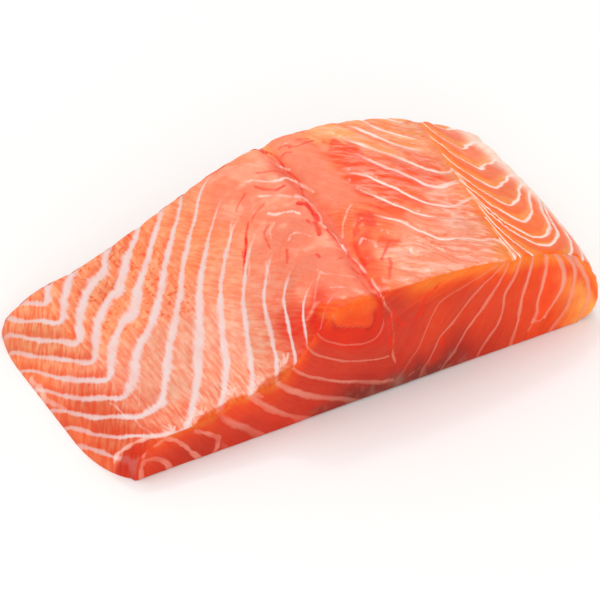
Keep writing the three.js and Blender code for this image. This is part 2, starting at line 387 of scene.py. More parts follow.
    # Seams of the fan beyond the septum, from the septum to the back: (z, u) pairs.
    fan: tuple[Knots, ...] = (
        ((0, 80), (4, 85.5), (9.5, 90), (15.8, 93.3), (21.3, 96), (24.5, 98.5), (26.8, 106.3), (28, 110.5),
         (30, 116)),
        ((0, 90.5), (6.3, 94.8), (11.8, 97.8), (16.3, 102.3), (20.8, 106.5), (24.3, 110.8), (28, 115.5),
         (30, 117.5)),
        ((0.8, 98), (6, 102.8), (9.5, 104.8), (14.8, 109.5), (18.3, 112), (22.3, 114.8), (25.8, 116.8),
         (30, 119)),
        ((1.5, 110), (4.5, 111.8), (10, 116), (14.5, 117), (19.3, 117.8), (23.3, 120), (27.3, 121.5)),
        ((1.8, 120.5), (5.3, 121.5), (10.5, 122.5), (16, 123), (21, 124.3), (26.5, 125.8)),
        ((0, 124.5), (5.3, 126.5), (7.8, 128.2), (12.3, 128), (16, 129), (21.5, 130.6), (27.8, 130.3)),
        ((0, 129), (6, 131), (9.8, 133.5), (13.5, 136), (18, 136.5), (23.5, 134.8), (27, 132.8)),
        ((0, 132.5), (2.3, 134.5), (6.5, 138.3), (13, 140), (19.3, 139.8), (23.8, 137.5), (27, 135)),
        ((0, 142), (6, 144.8), (11.3, 144.8), (17.3, 142.5), (21.3, 140.5), (25, 138)),
    )
    fan_pitch: float = 6.5

    def belly(self, u: Array, v: Array) -> Array:
        """Counts sheets on the belly side of the septum.

        Args:
            u: Places across the fish.
            v: Places along it.

        Returns:
            Sheet numbers.
        """
        sag = self.rear_sag * smoothstep(v, *self.sag_run) * bell(u, self.sag_middle, self.sag_width)
        front, middle = curve(self.belly_front, u), curve(self.belly_middle, u)
        fold = lerp(front, middle, smoothstep(v, *self.belly_turn)) - sag
        return (v - fold - self.belly_start) / BELLY_PITCH

    def loin(self, u: Array, v: Array) -> Array:
        """Sheet number between the septum and the ridge."""
        return number_between(self.loin_lines, u, v, self.loin_pitch)

    def back(self, u: Array, v: Array) -> Array:
        """Counts sheets beyond the ridge.

        Args:
            u: Places across the fish.
            v: Places along it.

        Returns:
            Sheet numbers.
        """
        outer = self.portion.back_edge(v) - u
        arm = curve(self.back_arm, outer + self.arm_shift * smoothstep(v, *self.arm_run))
        start, slope = self.rear_arm
        arm = lerp(arm, slope * np.maximum(start - outer, 0.0), smoothstep(v, *self.rear_arm_run))
        past = u - self.portion.ridge(v) + self.fold_shift * smoothstep(v, *self.fold_run)
        return curve(self.back_sheets, v - curve(self.back_fold, past) - arm)

    def ring(self, u: Array, z: Array, flat: Array | float = 1.0) -> Array:
        """Counts rings on a cut, on the belly side of the septum.

        Args:
            u: Places across the fish.
            z: Heights of the same.
            flat: Share by which the core's sides are flat.

        Returns:
            Ring numbers.
        """
        across, down = u - self.core[0], self.core[1] - z
        inner = smoothstep(np.hypot(across, down), *self.inner_run)
        across, down = across - self.core_shift[0] * inner, down + self.core_shift[1] * inner
        away = np.hypot(across, down) / curve(self.ring_stretch, np.degrees(np.arctan2(across, down)))
        sides = [(right * across + low * down) / reach for right, low, reach in self.core_sides]
        away = lerp(away, self.rings[1] * np.maximum.reduce(sides), flat * smoothstep(away, *self.core_run))
        return np.interp(away, self.rings, np.arange(len(self.rings)) - 1.0)

    def fan_number(self, u: Array, z: Array) -> Array:
        """Seam number on a cut beyond the septum."""
        return number_between(self.fan, z, u, self.fan_pitch)


SMOOTHING = 1.2  # mm to either side that a seam's line is smoothed with
LEAST_GAP = 0.8  # mm that two seams are taken to be apart at least


def number_between(lines: tuple[Knots, ...], place: Array, height: Array, pitch: float) -> Array:
    """Numbers what lies between seams that are drawn as lines.

    Args:
        lines: The seams in order, each as (place, height) pairs.
        place: Where each point lies along the seams.
        height: Where it lies across them.
        pitch: Distance between seams outside the first and the last.

    Returns:
        A whole number on each seam.
    """
    before, after = place - SMOOTHING, place + SMOOTHING
    seams = [(curve(line, before) + 2.0 * curve(line, place) + curve(line, after)) / 4.0 for line in lines]
    number = (height - seams[0]) / pitch
    for i, (low, high) in enumerate(zip(seams, seams[1:])):
        share = (height - low) / np.maximum(high - low, LEAST_GAP)
        number = np.where(share > 0.0, i + np.minimum(share, 1.0), number)
    return np.where(height > seams[-1], len(seams) - 1 + (height - seams[-1]) / pitch, number)


# ---- Fine skin ----------------------------------------------------------------------------

@dataclass
class Skin:
    """The closed fine mesh of the fillet."""

    portion: Portion
    across: int = 312  # steps round a section, an even number
    along: int = 124  # steps from one cut to the other
    cut_rows: int = 52
    edge_rows: int = 8  # of which this many turn round the upper edge
    points: list[Array] = field(default_factory=list)
    faces: list[tuple[int, ...]] = field(default_factory=list)

    def _add(self, u: Array, v: Array, z: Array) -> Array:
        """Adds points.

        Args:
            u: Their places across the fish.
            v: Their places along it.
            z: Their heights.

        Returns:
            Their indices.
        """
        start = sum(len(block) for block in self.points)
        u, v, z = np.broadcast_arrays(u, v, z)
        self.points.append(np.column_stack([u, v, z]).astype(float))
        return np.arange(start, start + len(u))

    def _strip(self, low: Array, high: Array) -> None:
        """Joins two rows of points by quads, and by a triangle where they share a point.

        Args:
            low: Indices of the first row.
            high: Indices of the second, as many.
        """
        for a, b, c, d in zip(low[:-1], low[1:], high[1:], high[:-1]):
            face = tuple(dict.fromkeys((int(a), int(b), int(c), int(d))))
            if len(face) > 2:
                self.faces.append(face)

    def _bridge(self, fine: Array, coarse: Array, fine_first: bool) -> None:
        """Joins a row of points to one with half as many steps.

        Args:
            fine: Indices of the row.
            coarse: Indices of the one with half as many.
            fine_first: Whether the faces turn from the fine row to the coarse one.
        """
        for m in range(len(coarse) - 1):
            a0, a1, a2 = (int(k) for k in fine[2 * m:2 * m + 3])
            b0, b1 = int(coarse[m]), int(coarse[m + 1])
            for face in ((b0, a1, a0), (b0, b1, a1), (b1, a2, a1)):
                if len(set(face)) == 3:
                    self.faces.append(face if fine_first else face[::-1])

    def _row_share(self, row: int, drop: Array) -> Array:
        """Spaces a row of a cut.

        Args:
            row: Number of the row below the top.
            drop: How far the cut goes down below each point.

        Returns:
            Shares of the way down.
        """
        radius = self.portion.cut_round
        turned = radius * (1.0 - math.cos(0.5 * math.pi * min(row, self.edge_rows) / self.edge_rows))
        edge = np.minimum(turned / np.maximum(drop, radius), row / self.cut_rows)
        if row <= self.edge_rows:
            return edge
        return lerp(edge, 1.0, (row - self.edge_rows) / (self.cut_rows - self.edge_rows))

    def _cut(self, section: Array, ring: Array, rear: bool) -> Array:
        """Adds a cut below an end section.

        Args:
            section: (n, 2) points of the section.
            ring: Their indices.
            rear: Whether it is the rear cut.

        Returns:
            Indices of the points at its foot.
        """
        foot = np.column_stack([np.linspace(section[0, 0], section[-1, 0], len(section)),
                                np.zeros(len(section))])
        drop = np.hypot(*(section - foot).T)
        above = ring
        for row in range(1, self.cut_rows + 1):
            spot = lerp(section, foot, self._row_share(row, drop)[:, None])[1:-1]
            under = round_off(distance_to_line(spot, section), self.portion.cut_round)
            inset = np.maximum(under, round_off(spot[:, 1], self.portion.base_round))
            v = self.portion.width - inset if rear else inset
            line = np.concatenate([ring[:1], self._add(spot[:, 0], v, spot[:, 1]), ring[-1:]])
            self._strip(*((above, line) if rear else (line, above)))
            above = line
        return above

    def build(self) -> tuple[Array, list[tuple[int, ...]]]:
        """Builds the whole skin.

        Returns:
            The points (u, v, z) and the faces.
        """
        form = self.portion
        stations = np.linspace(form.cut_round, form.width - form.cut_round, self.along + 1)
        sections = [form.section(v, self.across) for v in stations]
        rings = [self._add(s[:, 0], v, s[:, 1]) for s, v in zip(sections, stations)]
        for low, high in zip(rings, rings[1:]):
            self._strip(low, high)
        front_foot = self._cut(sections[0], rings[0], rear=False)
        rear_foot = self._cut(sections[-1], rings[-1], rear=True)
        half = self.across // 2
        rows = []
        for section, ring, v in zip(sections, rings, stations):
            inner = np.linspace(section[0, 0], section[-1, 0], half + 1)[1:-1]
            rows.append(np.concatenate([ring[:1], self._add(inner, v, 0.0), ring[-1:]]))
        for low, high in zip(rows, rows[1:]):
            self._strip(high, low)
        self._bridge(front_foot, rows[0], fine_first=True)
        self._bridge(rear_foot, rows[-1], fine_first=False)
        return np.concatenate(self.points), self.faces


def round_off(depth: Array, radius: float) -> Array:
    """How far a rounded edge stands back, at a depth below the face it turns from."""
    return radius - np.sqrt(radius ** 2 - (radius - np.clip(depth, 0.0, radius)) ** 2)


def distance_to_line(spots: Array, line: Array) -> Array:
    """Distance from each spot to a line of points.

    Args:
        spots: (n, 2) places.
        line: (m, 2) points that the line follows.

    Returns:
        n distances.
    """
    start, run = line[:-1], np.diff(line, axis=0)
    length2 = np.maximum((run ** 2).sum(1), TINY)
    away = spots[:, None, :] - start[None]
    share = np.clip((away * run).sum(2) / length2, 0.0, 1.0)
    gap = away - share[..., None] * run
    return np.sqrt((gap ** 2).sum(2)).min(1)


# ---- Threads and tears --------------------------------------------------------------------

@dataclass(frozen=True)
class Thread:
    """A line of fat, a tear in the flesh, or a painted glint: half width in mm, how strongly it shows, and
    its path.
    """

    half: float
    strength: float
    path: Knots

    def gap(self, a: Array, b: Array, waver: Array) -> Array:
        """Distance in mm from the thread's edge at (a, b), negative inside it."""
        away = distance_to_line(np.column_stack([a, b]), np.array(self.path, float))
        return away - self.half * (1.0 + waver)


# White connective tissue on the top, (u, v) in mm: the septum and the thin seams that meet it, and one
# painted glint.
TOP_TISSUE_AND_GLINT = (
    Thread(0.30, 0.70, ((72.8, 62.3), (74.8, 61.5), (77.2, 58.5), (80, 56.5), (82.8, 57))),
    Thread(0.24, 0.95, ((82.8, 57), (84, 55), (84.8, 50.7), (85.4, 47.5))),
    Thread(0.30, 0.70, ((72.5, 54.7), (74.5, 53.5), (76.5, 51.3), (79, 48.7))),
    Thread(0.70, 0.75, ((80.8, 47.9), (82.6, 46.9), (82.4, 45.4))),
    Thread(0.26, 0.60, ((82.6, 45), (82.7, 41), (82.4, 38.2), (81, 35.5), (80.4, 33.5))),
    Thread(0.30, 0.85, ((80.1, 34.2), (80.5, 31.8))),
    Thread(0.30, 0.75, ((71, 46.8), (72.5, 45), (75, 43.9), (76.8, 42.9), (78, 40.7))),
    Thread(0.24, 0.55, ((69.8, 33.3), (71, 35.2), (73, 35.3), (74.5, 33.5), (75.4, 31))),
    Thread(0.20, 0.40, ((71.5, 27.5), (71.8, 25.3), (72.8, 24.3))),
    Thread(0.20, 0.50, ((69.8, 18), (70.5, 15.5), (73.2, 13), (76.5, 9.7))),
    Thread(0.20, 0.45, ((68.8, 9.3), (72, 7.3), (74.2, 4.7))),
    Thread(0.18, 0.35, ((62.5, 7), (66, 12), (69.5, 16.5))),
    Thread(0.12, 0.70, ((81.7, 29.5), (80.9, 25.5), (81, 22.5), (80.2, 20.2))),
    Thread(0.16, 0.70, ((80.6, 18.5), (80.8, 15.5), (80.1, 10.5))),
    Thread(0.20, 0.80, ((80.1, 7.5), (79.7, 4.5), (79.2, 1))),
    Thread(0.24, 0.90, ((81.2, 24.4), (80.9, 21.8))),
    Thread(0.26, 0.55, ((81.5, 68), (83, 65), (84.2, 61.3), (84.9, 59.5))),
    Thread(0.20, 0.40, ((73.2, 71), (75.5, 69.3), (78.2, 66.3), (81.8, 63.5))),
    Thread(0.26, 0.45, ((84.5, 21), (86.6, 22.5), (88, 19.5), (87.3, 17.5))),
    # A painted glint along the edge of a leaf of flesh past the septum.
    Thread(0.16, 0.45, ((82.8, 27), (85.2, 31), (88.3, 34.6), (91.8, 37))),
    Thread(0.26, 0.60, ((120.7, 1), (121.2, 4), (121.4, 8.3), (120.2, 10.2))),
    Thread(0.45, 0.55, ((128.9, 43), (128.4, 40.5), (127.6, 37.5))),
    Thread(0.60, 0.60, ((4, 6.2), (6.5, 5.3), (9.3, 4.7), (12.5, 3), (15.7, 1.2))),
    Thread(0.16, 0.45, ((12.6, 11), (12.8, 7.4), (13.4, 3.6))),
    Thread(0.14, 0.40, ((15.2, 14.8), (17.4, 17.8), (19.2, 21.5))),
    Thread(0.16, 0.40, ((10.6, 21.5), (11.2, 17), (11.4, 13.2))),
    # Pale rims beside the tears of the saddle.
    Thread(0.20, 0.45, ((62.9, 51.8), (59.4, 47.1), (56.5, 42.9))),
    Thread(0.16, 0.45, ((61.5, 39.4), (59.3, 36.2), (57.5, 32.9))),
    Thread(0.14, 0.40, ((61.9, 31.5), (60.9, 27.0), (59.2, 25.2))),
    Thread(0.14, 0.35, ((70.8, 42.6), (68.4, 40.2), (66.6, 37))),
    # The silvery lining left on the belly edge.
    Thread(0.40, 0.45, ((0.6, 50), (0.5, 42), (0.9, 36), (1.8, 31))),
)

# Where seams fray into short threads as they turn over the front edge, (u, v) in mm.
FRAYED_ENDS = ((17.8, 0.9), (23.3, 1.5), (27.5, 2.2), (36.7, 3.4), (42.2, 1.2), (44.6, 2.4), (52.1, 2.8))
FRAYED_FAN = ((-62.0, 2.0), (-34.0, 2.8), (-10.0, 3.6), (16.0, 3.0), (45.0, 2.2))  # lean in degrees, length
FRAYED_THREAD = (0.14, 0.75)  # half width and strength


def frayed_end(u: float, v: float) -> tuple[Thread, ...]:
    """Short threads of fat that fan out inland from (u, v) in mm."""
    tips = [(u + reach * math.sin(math.radians(lean)), v + reach * math.cos(math.radians(lean)))
            for lean, reach in FRAYED_FAN]
    return tuple(Thread(*FRAYED_THREAD, ((u, v), tip)) for tip in tips)


TOP_THREADS = TOP_TISSUE_AND_GLINT + tuple(thread for end in FRAYED_ENDS for thread in frayed_end(*end))

# Deep red tears and hollows on the top.
TOP_TEARS = (
    Thread(0.16, 0.81, ((65.2, 54), (68, 56.7), (70, 58.5))),
    Thread(0.30, 1.00, ((65.4, 47.7), (63.8, 45.5), (61.6, 41.3), (58.6, 37.7))),
    Thread(0.16, 0.74, ((69.5, 43), (66.8, 40.5), (65.5, 37.5), (64.5, 34))),
    Thread(0.26, 0.88, ((68, 30.3), (66.5, 28), (65.2, 26))),
    Thread(0.14, 0.61, ((72.5, 51.5), (69, 49.5), (66.6, 46.8))),
    Thread(0.70, 1.00, ((79.8, 45.2), (81.0, 43.5), (81.2, 40), (80.6, 36))),
    Thread(0.50, 0.90, ((79.3, 35.5), (78.5, 32.5), (77.6, 30.3))),
    Thread(0.25, 1.00, ((78, 37.7), (78, 34.5))),
    Thread(0.40, 0.75, ((73.8, 59), (75, 56.3), (77.2, 53.5), (80, 54.1))),
    Thread(0.22, 0.94, ((76.8, 63.5), (79.2, 62), (82, 59.7), (84.2, 59))),
    Thread(0.35, 0.65, ((84.5, 24), (86.8, 25.7), (88, 27))),
    Thread(0.50, 0.70, ((83.4, 21.5), (82.2, 18.5), (81.4, 13.3))),
    Thread(0.30, 0.81, ((76, 18.5), (78.2, 19))),
    Thread(0.25, 0.81, ((73, 24), (72.9, 21.5))),
    Thread(0.16, 0.80, ((59.9, 40.7), (58.5, 37.5), (56.7, 34.8))),
    Thread(0.30, 0.75, ((89.5, 67.4), (92.1, 66.6), (96.5, 66.8))),
    Thread(0.20, 0.80, ((86.2, 68.7), (88.3, 68.9), (90.4, 68.2))),
    Thread(0.22, 0.80, ((92.9, 69.2), (95.8, 68.3))),
    Thread(0.45, 0.65, ((86.0, 25.8), (88.2, 28.4), (90, 30))),
    Thread(0.20, 0.81, ((85.5, 65.5), (87.2, 65.7), (89, 65))),
    Thread(0.60, 0.80, ((83.2, 73), (82.8, 70.3))),
    Thread(0.30, 0.68, ((86.2, 12.5), (89, 15.5), (92.6, 18.2))),
    Thread(0.30, 0.61, ((84, 5), (86.5, 8.5), (88.4, 12))),
    Thread(0.22, 0.68, ((78.6, 14), (79.4, 9), (78.6, 4))),
    Thread(0.20, 1.00, ((78.5, 0), (79.4, 5), (79.2, 9), (80.4, 13), (80.2, 19), (81.2, 24), (80.4, 29),
                        (81, 34))),
    Thread(0.20, 0.94, ((82, 44), (83.4, 50), (84.6, 54), (84, 60), (84.8, 66), (83.6, 73))),
)

# The same on a cut, (u, z) in mm.
CUT_THREADS = (
    Thread(0.22, 0.85, ((79.2, 33), (80.6, 28.5), (82, 25.2))),
    Thread(0.14, 0.45, ((82, 25.2), (83, 19), (83, 13.5))),
    Thread(0.24, 0.60, ((83.2, 13.5), (83, 11.4), (83.5, 8.6))),
    Thread(0.12, 0.60, ((62.0, 35.3), (63.5, 33.8), (64.7, 31.4), (65.9, 27.7))),
    Thread(0.30, 0.45, ((127.0, 6.6), (128.4, 5.6), (129.8, 5.3), (131, 6))),
    Thread(0.22, 0.40, ((125.6, 3.4), (127.4, 6))),
    Thread(0.60, 0.55, ((8.3, 0.3), (8.5, 3), (9.2, 5.8), (12.3, 5.6), (15.3, 2.8), (16.8, 0))),
    Thread(0.60, 0.60, ((8.9, 6.9), (9.7, 9), (11.3, 10.1), (15, 10.4), (18.4, 9), (21.4, 6), (25, 0))),
    Thread(0.60, 0.55, ((23.8, 9.5), (27.8, 7.3), (30.5, 4.2), (30.2, 1.8), (28.6, 0.4))),
    Thread(0.50, 0.40, ((41.5, 15), (43.4, 13))),
    Thread(0.30, 0.35, ((88, 2.8), (89.6, 3.4))),
    Thread(0.30, 0.35, ((80.3, 3.6), (81.2, 4.2))),
)
CUT_TEARS = (
    Thread(0.30, 0.75, ((83.5, 23.3), (85.2, 20.8), (87.5, 19.8), (90.8, 22.3), (92, 26.5), (95.8, 29.2))),
    Thread(0.22, 0.60, ((66.5, 26.4), (70, 24.6), (73.5, 23.8), (77, 24))),
    Thread(0.45, 0.75, ((82.4, 26.5), (81.6, 21), (82.2, 14))),
    Thread(0.50, 0.45, ((97.5, 11), (98.6, 9.4))),
)


# ---- What the flesh is made of, with painted sheen and glow -------------------------------

class Tint(Enum):
    """Colours of raw salmon, some of them painted sheen, glow and highlight, as sRGB hex."""

    PEACH = "#f0a487"  # belly, full of fat
    PALE_PEACH = "#f1b69c"
    WARM_PEACH = "#f6a97d"
    MARGIN = "#e26e44"  # thin belly edge
    BROWNED = "#e4582a"  # behind each seam of the belly
    LEAN = "#e8330f"  # lean flesh at the shoulder
    CORAL = "#f88a6a"  # saddle over the backbone
    ROSE_SHEEN = "#f9ad90"  # pale patches, lightened as painted sheen of the wet film
    LOIN = "#f97f4c"
    PATCH = "#f6541a"  # dark orange patches of the loin
    BACK = "#ffa652"
    BAND = "#fb6e1c"  # behind each seam of the back
    RIM_HIGHLIGHT = "#fde0cc"  # painted highlight along the outer edge of the back
    FRAYED = "#f6c6b2"  # frayed fat along the front edge
    GOLD = "#fdb674"  # fatter flesh of the rear loin
    AMBER = "#fb8b30"  # fat under the ridge; on the upper edge of a cut, a painted glow of light through the flesh
    CUT = "#cc3d24"
    CUT_DEEP = "#b82f1e"
    LIP_GLOW = "#e0702c"  # painted glow on the rounded upper edge of the belly's cut
    CUT_WARM = "#ec5018"
    CORE = "#f05218"
    SCARLET = "#dc2e0c"
    DARK_MUSCLE = "#7e352c"
    SILVER = "#a88274"  # lining of the skin side, and pale specks above it on a cut
    UNDERSIDE = "#d78f7c"


@dataclass
class Paint:
    """Linear colours of many points, painted one over another."""

    ground: Tint
    count: int
    colour: Array = field(init=False)

    def __post_init__(self) -> None:
        """Starts with the ground alone."""
        self.colour = np.tile(linear(self.ground.value), (self.count, 1))

    def lay(self, over: Tint | Array, share: Array) -> None:
        """Lays a tint, or other colours, over the colour by a share of 0 to 1."""
        colour = linear(over.value) if isinstance(over, Tint) else over
        self.colour = lerp(self.colour, colour, np.clip(share, 0.0, 1.0)[:, None])


def soft_patch(u: Array, v: Array, middle: tuple[float, float], radii: tuple[float, float],
               ragged: Array) -> Array:
    """Share of an oval patch with a ragged soft edge at each point (u, v)."""
    away = np.hypot((u - middle[0]) / radii[0], (v - middle[1]) / radii[1])
    return smoothstep(away + 0.5 * ragged, 1.25, 0.75)


@dataclass
class Tissue:
    """Works out what every point of the skin is made of, as named attributes.

    In its formulas smoothstep and bell read places in mm or sheet numbers: smoothstep(u, 52.0, 57.0)
    rises from the line u = 52 mm to the line u = 57 mm, and the other way round it falls. There, past
    is how far a point lies past the septum and out how far past the ridge, in mm.
    """

    portion: Portion
    sheets: MuscleSheets
    spots: Array  # (n, 3) points u, v, z in mm
    normals: Array  # (n, 3) outward normals
    seed: int = 11
    # How far the flesh of the front cut shows over the top edge, by u.
    lip: Knots = ((0, 6), (4.5, 5.3), (9.3, 4.3), (12.5, 2.6), (15.7, 0.6), (18, 0), (22.9, 0), (25, 1.0),
                  (28, 1.8), (36.5, 2.0), (39.5, 1.0), (41, 0), (43.5, 1.8), (47, 3.2), (50.8, 2.3),
                  (54, 0.2), (56.5, 0.4), (58.5, 4.2), (61.5, 5.8), (63.5, 6.2), (66, 4.6), (70, 3),
                  (74.5, 2.1), (80, 2), (82, 0), (90, 0), (160, 0))
    lip_limit: float = 9.0  # v that neither the lip nor its frayed edge goes past
    frayed_limit: float = 82.0  # u where the frayed edge ends
    # Half width in mm and whiteness of the seams: by u on the belly, by the distance past the ridge
    # on the back, and by sheet on a cut.
    belly_half: Knots = ((0, 0.5), (6, 0.62), (12.5, 0.8), (16, 1.1), (24, 1.25), (36, 1.2), (42, 1.0),
                         (48, 0.78), (54, 0.6), (60, 0.42), (68, 0.3), (84, 0.3))
    belly_white: Knots = ((0, 0.6), (8, 0.8), (16, 0.95), (44, 0.95), (53, 0.88), (59, 0.82), (61.5, 0.6),
                          (64, 0.12), (67, 0.0), (90, 0.0))
    back_half: Knots = ((-1, 0.14), (2, 0.18), (6, 0.26), (9, 0.4), (13, 0.46), (18, 0.46), (24, 0.4))
    # Where each seam of the loin starts and ends by u, and its half width, by sheet.
    loin_from: Knots = ((-1, 99), (0, 94.5), (1, 96.5), (2, 97.5), (3, 104.5), (4, 105), (5, 110), (6, 115),
                        (7, 121))
    loin_to: Knots = ((-1, 122), (0, 122), (1, 108.5), (2, 125), (3, 126), (4, 130), (5, 123.5), (6, 126),
                      (7, 128))
    loin_half: Knots = ((-1, 0.3), (0, 0.4), (1, 0.34), (2, 0.5), (3, 0.62), (4, 0.6), (5, 0.56), (6, 0.5),
                        (7, 0.4))
    ring_half: Knots = ((0, 0.2), (1, 0.24), (2, 0.32), (3, 0.42), (4, 0.66), (5, 0.8), (6, 0.85), (9, 0.7))
    ring_white: Knots = ((-1, 0.0), (-0.4, 0.0), (0, 0.05), (1, 0.3), (2, 0.42), (3, 0.5), (4, 0.58),
                         (5, 0.5), (9, 0.55))
    fan_half: Knots = ((0, 0.32), (3, 0.42), (6, 0.5), (9, 0.6))
    fan_white: Knots = ((-1, 0.0), (-0.4, 0.0), (0, 0.25), (1, 0.4), (3, 0.6), (5, 0.8), (8, 0.9), (10, 0.9))
    # How strongly the fibres show on the belly, by u.
    belly_fibres: Knots = ((0, 0.6), (12, 0.8), (16, 0.65), (44, 0.58), (52, 0.48), (60, 0.36), (68, 0.18),
                           (74, 0.12), (84, 0.12))
    # Soft waves of the top and further ones of the loin: height in mm, width, and way along the pattern.
    waves: tuple[tuple[float, Grain, float], ...] = (
        (0.16, Grain.BROAD, 13.0), (0.10, Grain.MIDDLE, 33.0), (0.05, Grain.SMALL, 3.0))
    loin_waves: tuple[tuple[float, Grain, float], ...] = ((0.16, Grain.SMALL, 81.0), (0.10, Grain.FINE, 17.0))
    upright_shift: tuple[float, float] = (37.0, 91.0)  # from the top's part of a pattern to the cuts'
    probe: float = 0.2  # mm over which a slope is measured
    steepest_slope: float = 6.0
    farthest: float = 4.0  # mm from a thread past which its distance isn't kept
    shades: int = 64  # shades of flesh that the sheets take in turn

    def __post_init__(self) -> None:
        """Works out where each point lies: its face, its way from every line, and the unevenness there."""
        self.u, self.v, self.z = self.spots.T
        self.facing = np.abs(self.normals[:, 1])
        self.below = smoothstep(-self.normals[:, 2], 0.6, 0.95)
        self.on_cut = self.facing > CUT_FACING
        self.noise = {grain: Unevenness(self.seed + i, grain.value) for i, grain in enumerate(Grain)}
        self.broad = self._wave(Grain.BROAD, 7.0)
        self.middle = self._wave(Grain.MIDDLE, 63.0)
        self.small = self._wave(Grain.SMALL, 29.0)
        self.blot = 0.5 * self.broad + 0.35 * self.middle + 0.15 * self.small
        down_cut, on_top = self.portion.septum_on_cut(self.v, self.z), self.portion.septum(self.v)
        self.past_septum = self.u - np.where(self.on_cut, down_cut, on_top)
        self.past_ridge = self.u - self.portion.ridge(self.v)
        self.depth = self.portion.height(self.u, self.v) - self.z
        reach = curve(self.lip, self.u) + 0.5 * self._wave(Grain.FINE, 27.0) - self.v
        beside = self.v < self.lip_limit
        self.on_lip = smoothstep(reach, -0.5, 0.5) * beside * ~self.on_cut * (1.0 - self.below)
        self.frayed = bell(reach, -0.9, 0.7) * beside * (self.u < self.frayed_limit)

    def paint(self) -> tuple[dict[str, Array], Array]:
        """Works out the attributes.

        Returns:
            The attributes by name, one number a point, and the flesh colours, (n, 3) linear.
        """
        values = self._sheet_numbers()
        values.update(self._seams(values))
        values.update(self._fibres())
        values.update(self._moisture())
        values.update(self._threads())
        values.update(self._relief(values))
        return values, self._colours(values)

    def _wave(self, grain: Grain, shift: float = 0.0) -> Array:
        """Unevenness over the face that a point lies on.

        Args:
            grain: Width of the bumps.
            shift: Way along the pattern in mm, so that its uses differ.

        Returns:
            One number a point, from -1 to 1.
        """
        flat = self.noise[grain].at(self.u + shift, self.v + 2.0 * shift)
        along, down = self.upright_shift
        upright = self.noise[grain].at(self.u + shift + along, self.z + 2.0 * shift + down)
        return lerp(flat, upright, smoothstep(self.facing, 0.6, 0.8))

    def _by_zone(self, belly: Array, loin: Array, back: Array, ring: Array, fan: Array) -> Array:
        """Picks each point's value from those of the five zones.

        Args:
            belly: Values for the top up to the septum.
            loin: From there to the ridge.
            back: Beyond the ridge.
            ring: For a cut up to the septum.
            fan: For a cut beyond it.

        Returns:
            One value a point.
        """
        left, right = self.past_septum < 0.0, self.past_ridge < 0.0
        on_top = np.where(left, belly, np.where(right, loin, back))
        return np.where(self.on_cut, np.where(left, ring, fan), on_top)

    def _sheet_numbers(self) -> dict[str, Array]:
        """Numbers the sheets by zone.

        Returns:
            The numbers, and how far a point lies past each line between zones.
        """
        u, v, z = self.u, self.v, self.z
        drift = 0.05 * self._wave(Grain.MIDDLE) + 0.03 * self._wave(Grain.SMALL)
        kink = 0.16 * bell(u, 31.0, 2.2) * smoothstep(v, 36.0, 46.0)
        crinkle = 0.07 * self._wave(Grain.SMALL, 15.0) + 0.04 * self._wave(Grain.FINE, 5.0)
        numbers = {
            "belly_sheet": self.sheets.belly(u, v) + drift + kink,
            "loin_sheet": self.sheets.loin(u, v) + drift,
            "back_sheet": self.sheets.back(u, v) + 0.8 * drift + crinkle,
            "ring_sheet": self.sheets.ring(u, z, v < self.portion.width / 2) + 1.3 * drift,
            "fan_sheet": self.sheets.fan_number(u, z) + 1.2 * drift,
        }
        numbers["sheet"] = self._by_zone(*numbers.values())
        return numbers | {"past_septum": self.past_septum, "past_ridge": self.past_ridge,
                          "cut_facing": self.facing}

    def _steepness(self, count: Callable[[Array, Array], Array], second: Array, on_top: bool) -> Array:
        """How closely the sheets follow each other over the surface.

        Args:
            count: Numbers the sheets from u and a second place.
            second: v on the top, z on a cut.
            on_top: Whether the surface slopes along u as the top does.

        Returns:
            Sheets per mm at each point.
        """
        step, steepest, stretch = self.probe, self.steepest_slope, 1.0
        if on_top:
            climb = self.portion.height(self.u + step, self.v) - self.portion.height(self.u - step, self.v)
            stretch = np.sqrt(1.0 + np.clip(climb / (2 * step), -steepest, steepest) ** 2)
        run = (count(self.u + step, second) - count(self.u - step, second)) / (2 * step * stretch)
        rise = (count(self.u, second + step) - count(self.u, second - step)) / (2 * step)
        return np.hypot(run, rise)

    def _seams(self, values: dict[str, Array]) -> dict[str, Array]:
        """Works out the seams' width and whiteness.

        Args:
            values: The sheet numbers.

        Returns:
            Half width of the seams in sheets, and how white they are.
        """
        u, v, z = self.u, self.v, self.z
        loin, ring, fan = (values[name] for name in ("loin_sheet", "ring_sheet", "fan_sheet"))
        belly_half = curve(self.belly_half, u) * lerp(0.72, 1.0, smoothstep(v, 0.0, 22.0))
        knot = 0.5 * bell(u, 31.0, 4.0) * smoothstep(v, 40.0, 50.0) * smoothstep(v, 68.0, 60.0)
        half = self._by_zone(belly_half + knot, *(curve(knots, number) for knots, number in (
            (self.loin_half, loin), (self.back_half, self.past_ridge), (self.ring_half, ring),
            (self.fan_half, fan))))
        top = self.sheets.belly, self.sheets.loin, self.sheets.back
        cut = self.sheets.ring, self.sheets.fan_number
        steep = self._by_zone(*(self._steepness(count, v, True) for count in top),
                              *(self._steepness(count, z, False) for count in cut))
        waver = 1.0 + 0.30 * self._wave(Grain.SMALL, 5.0) + 0.16 * self._wave(Grain.FINE, 9.0)

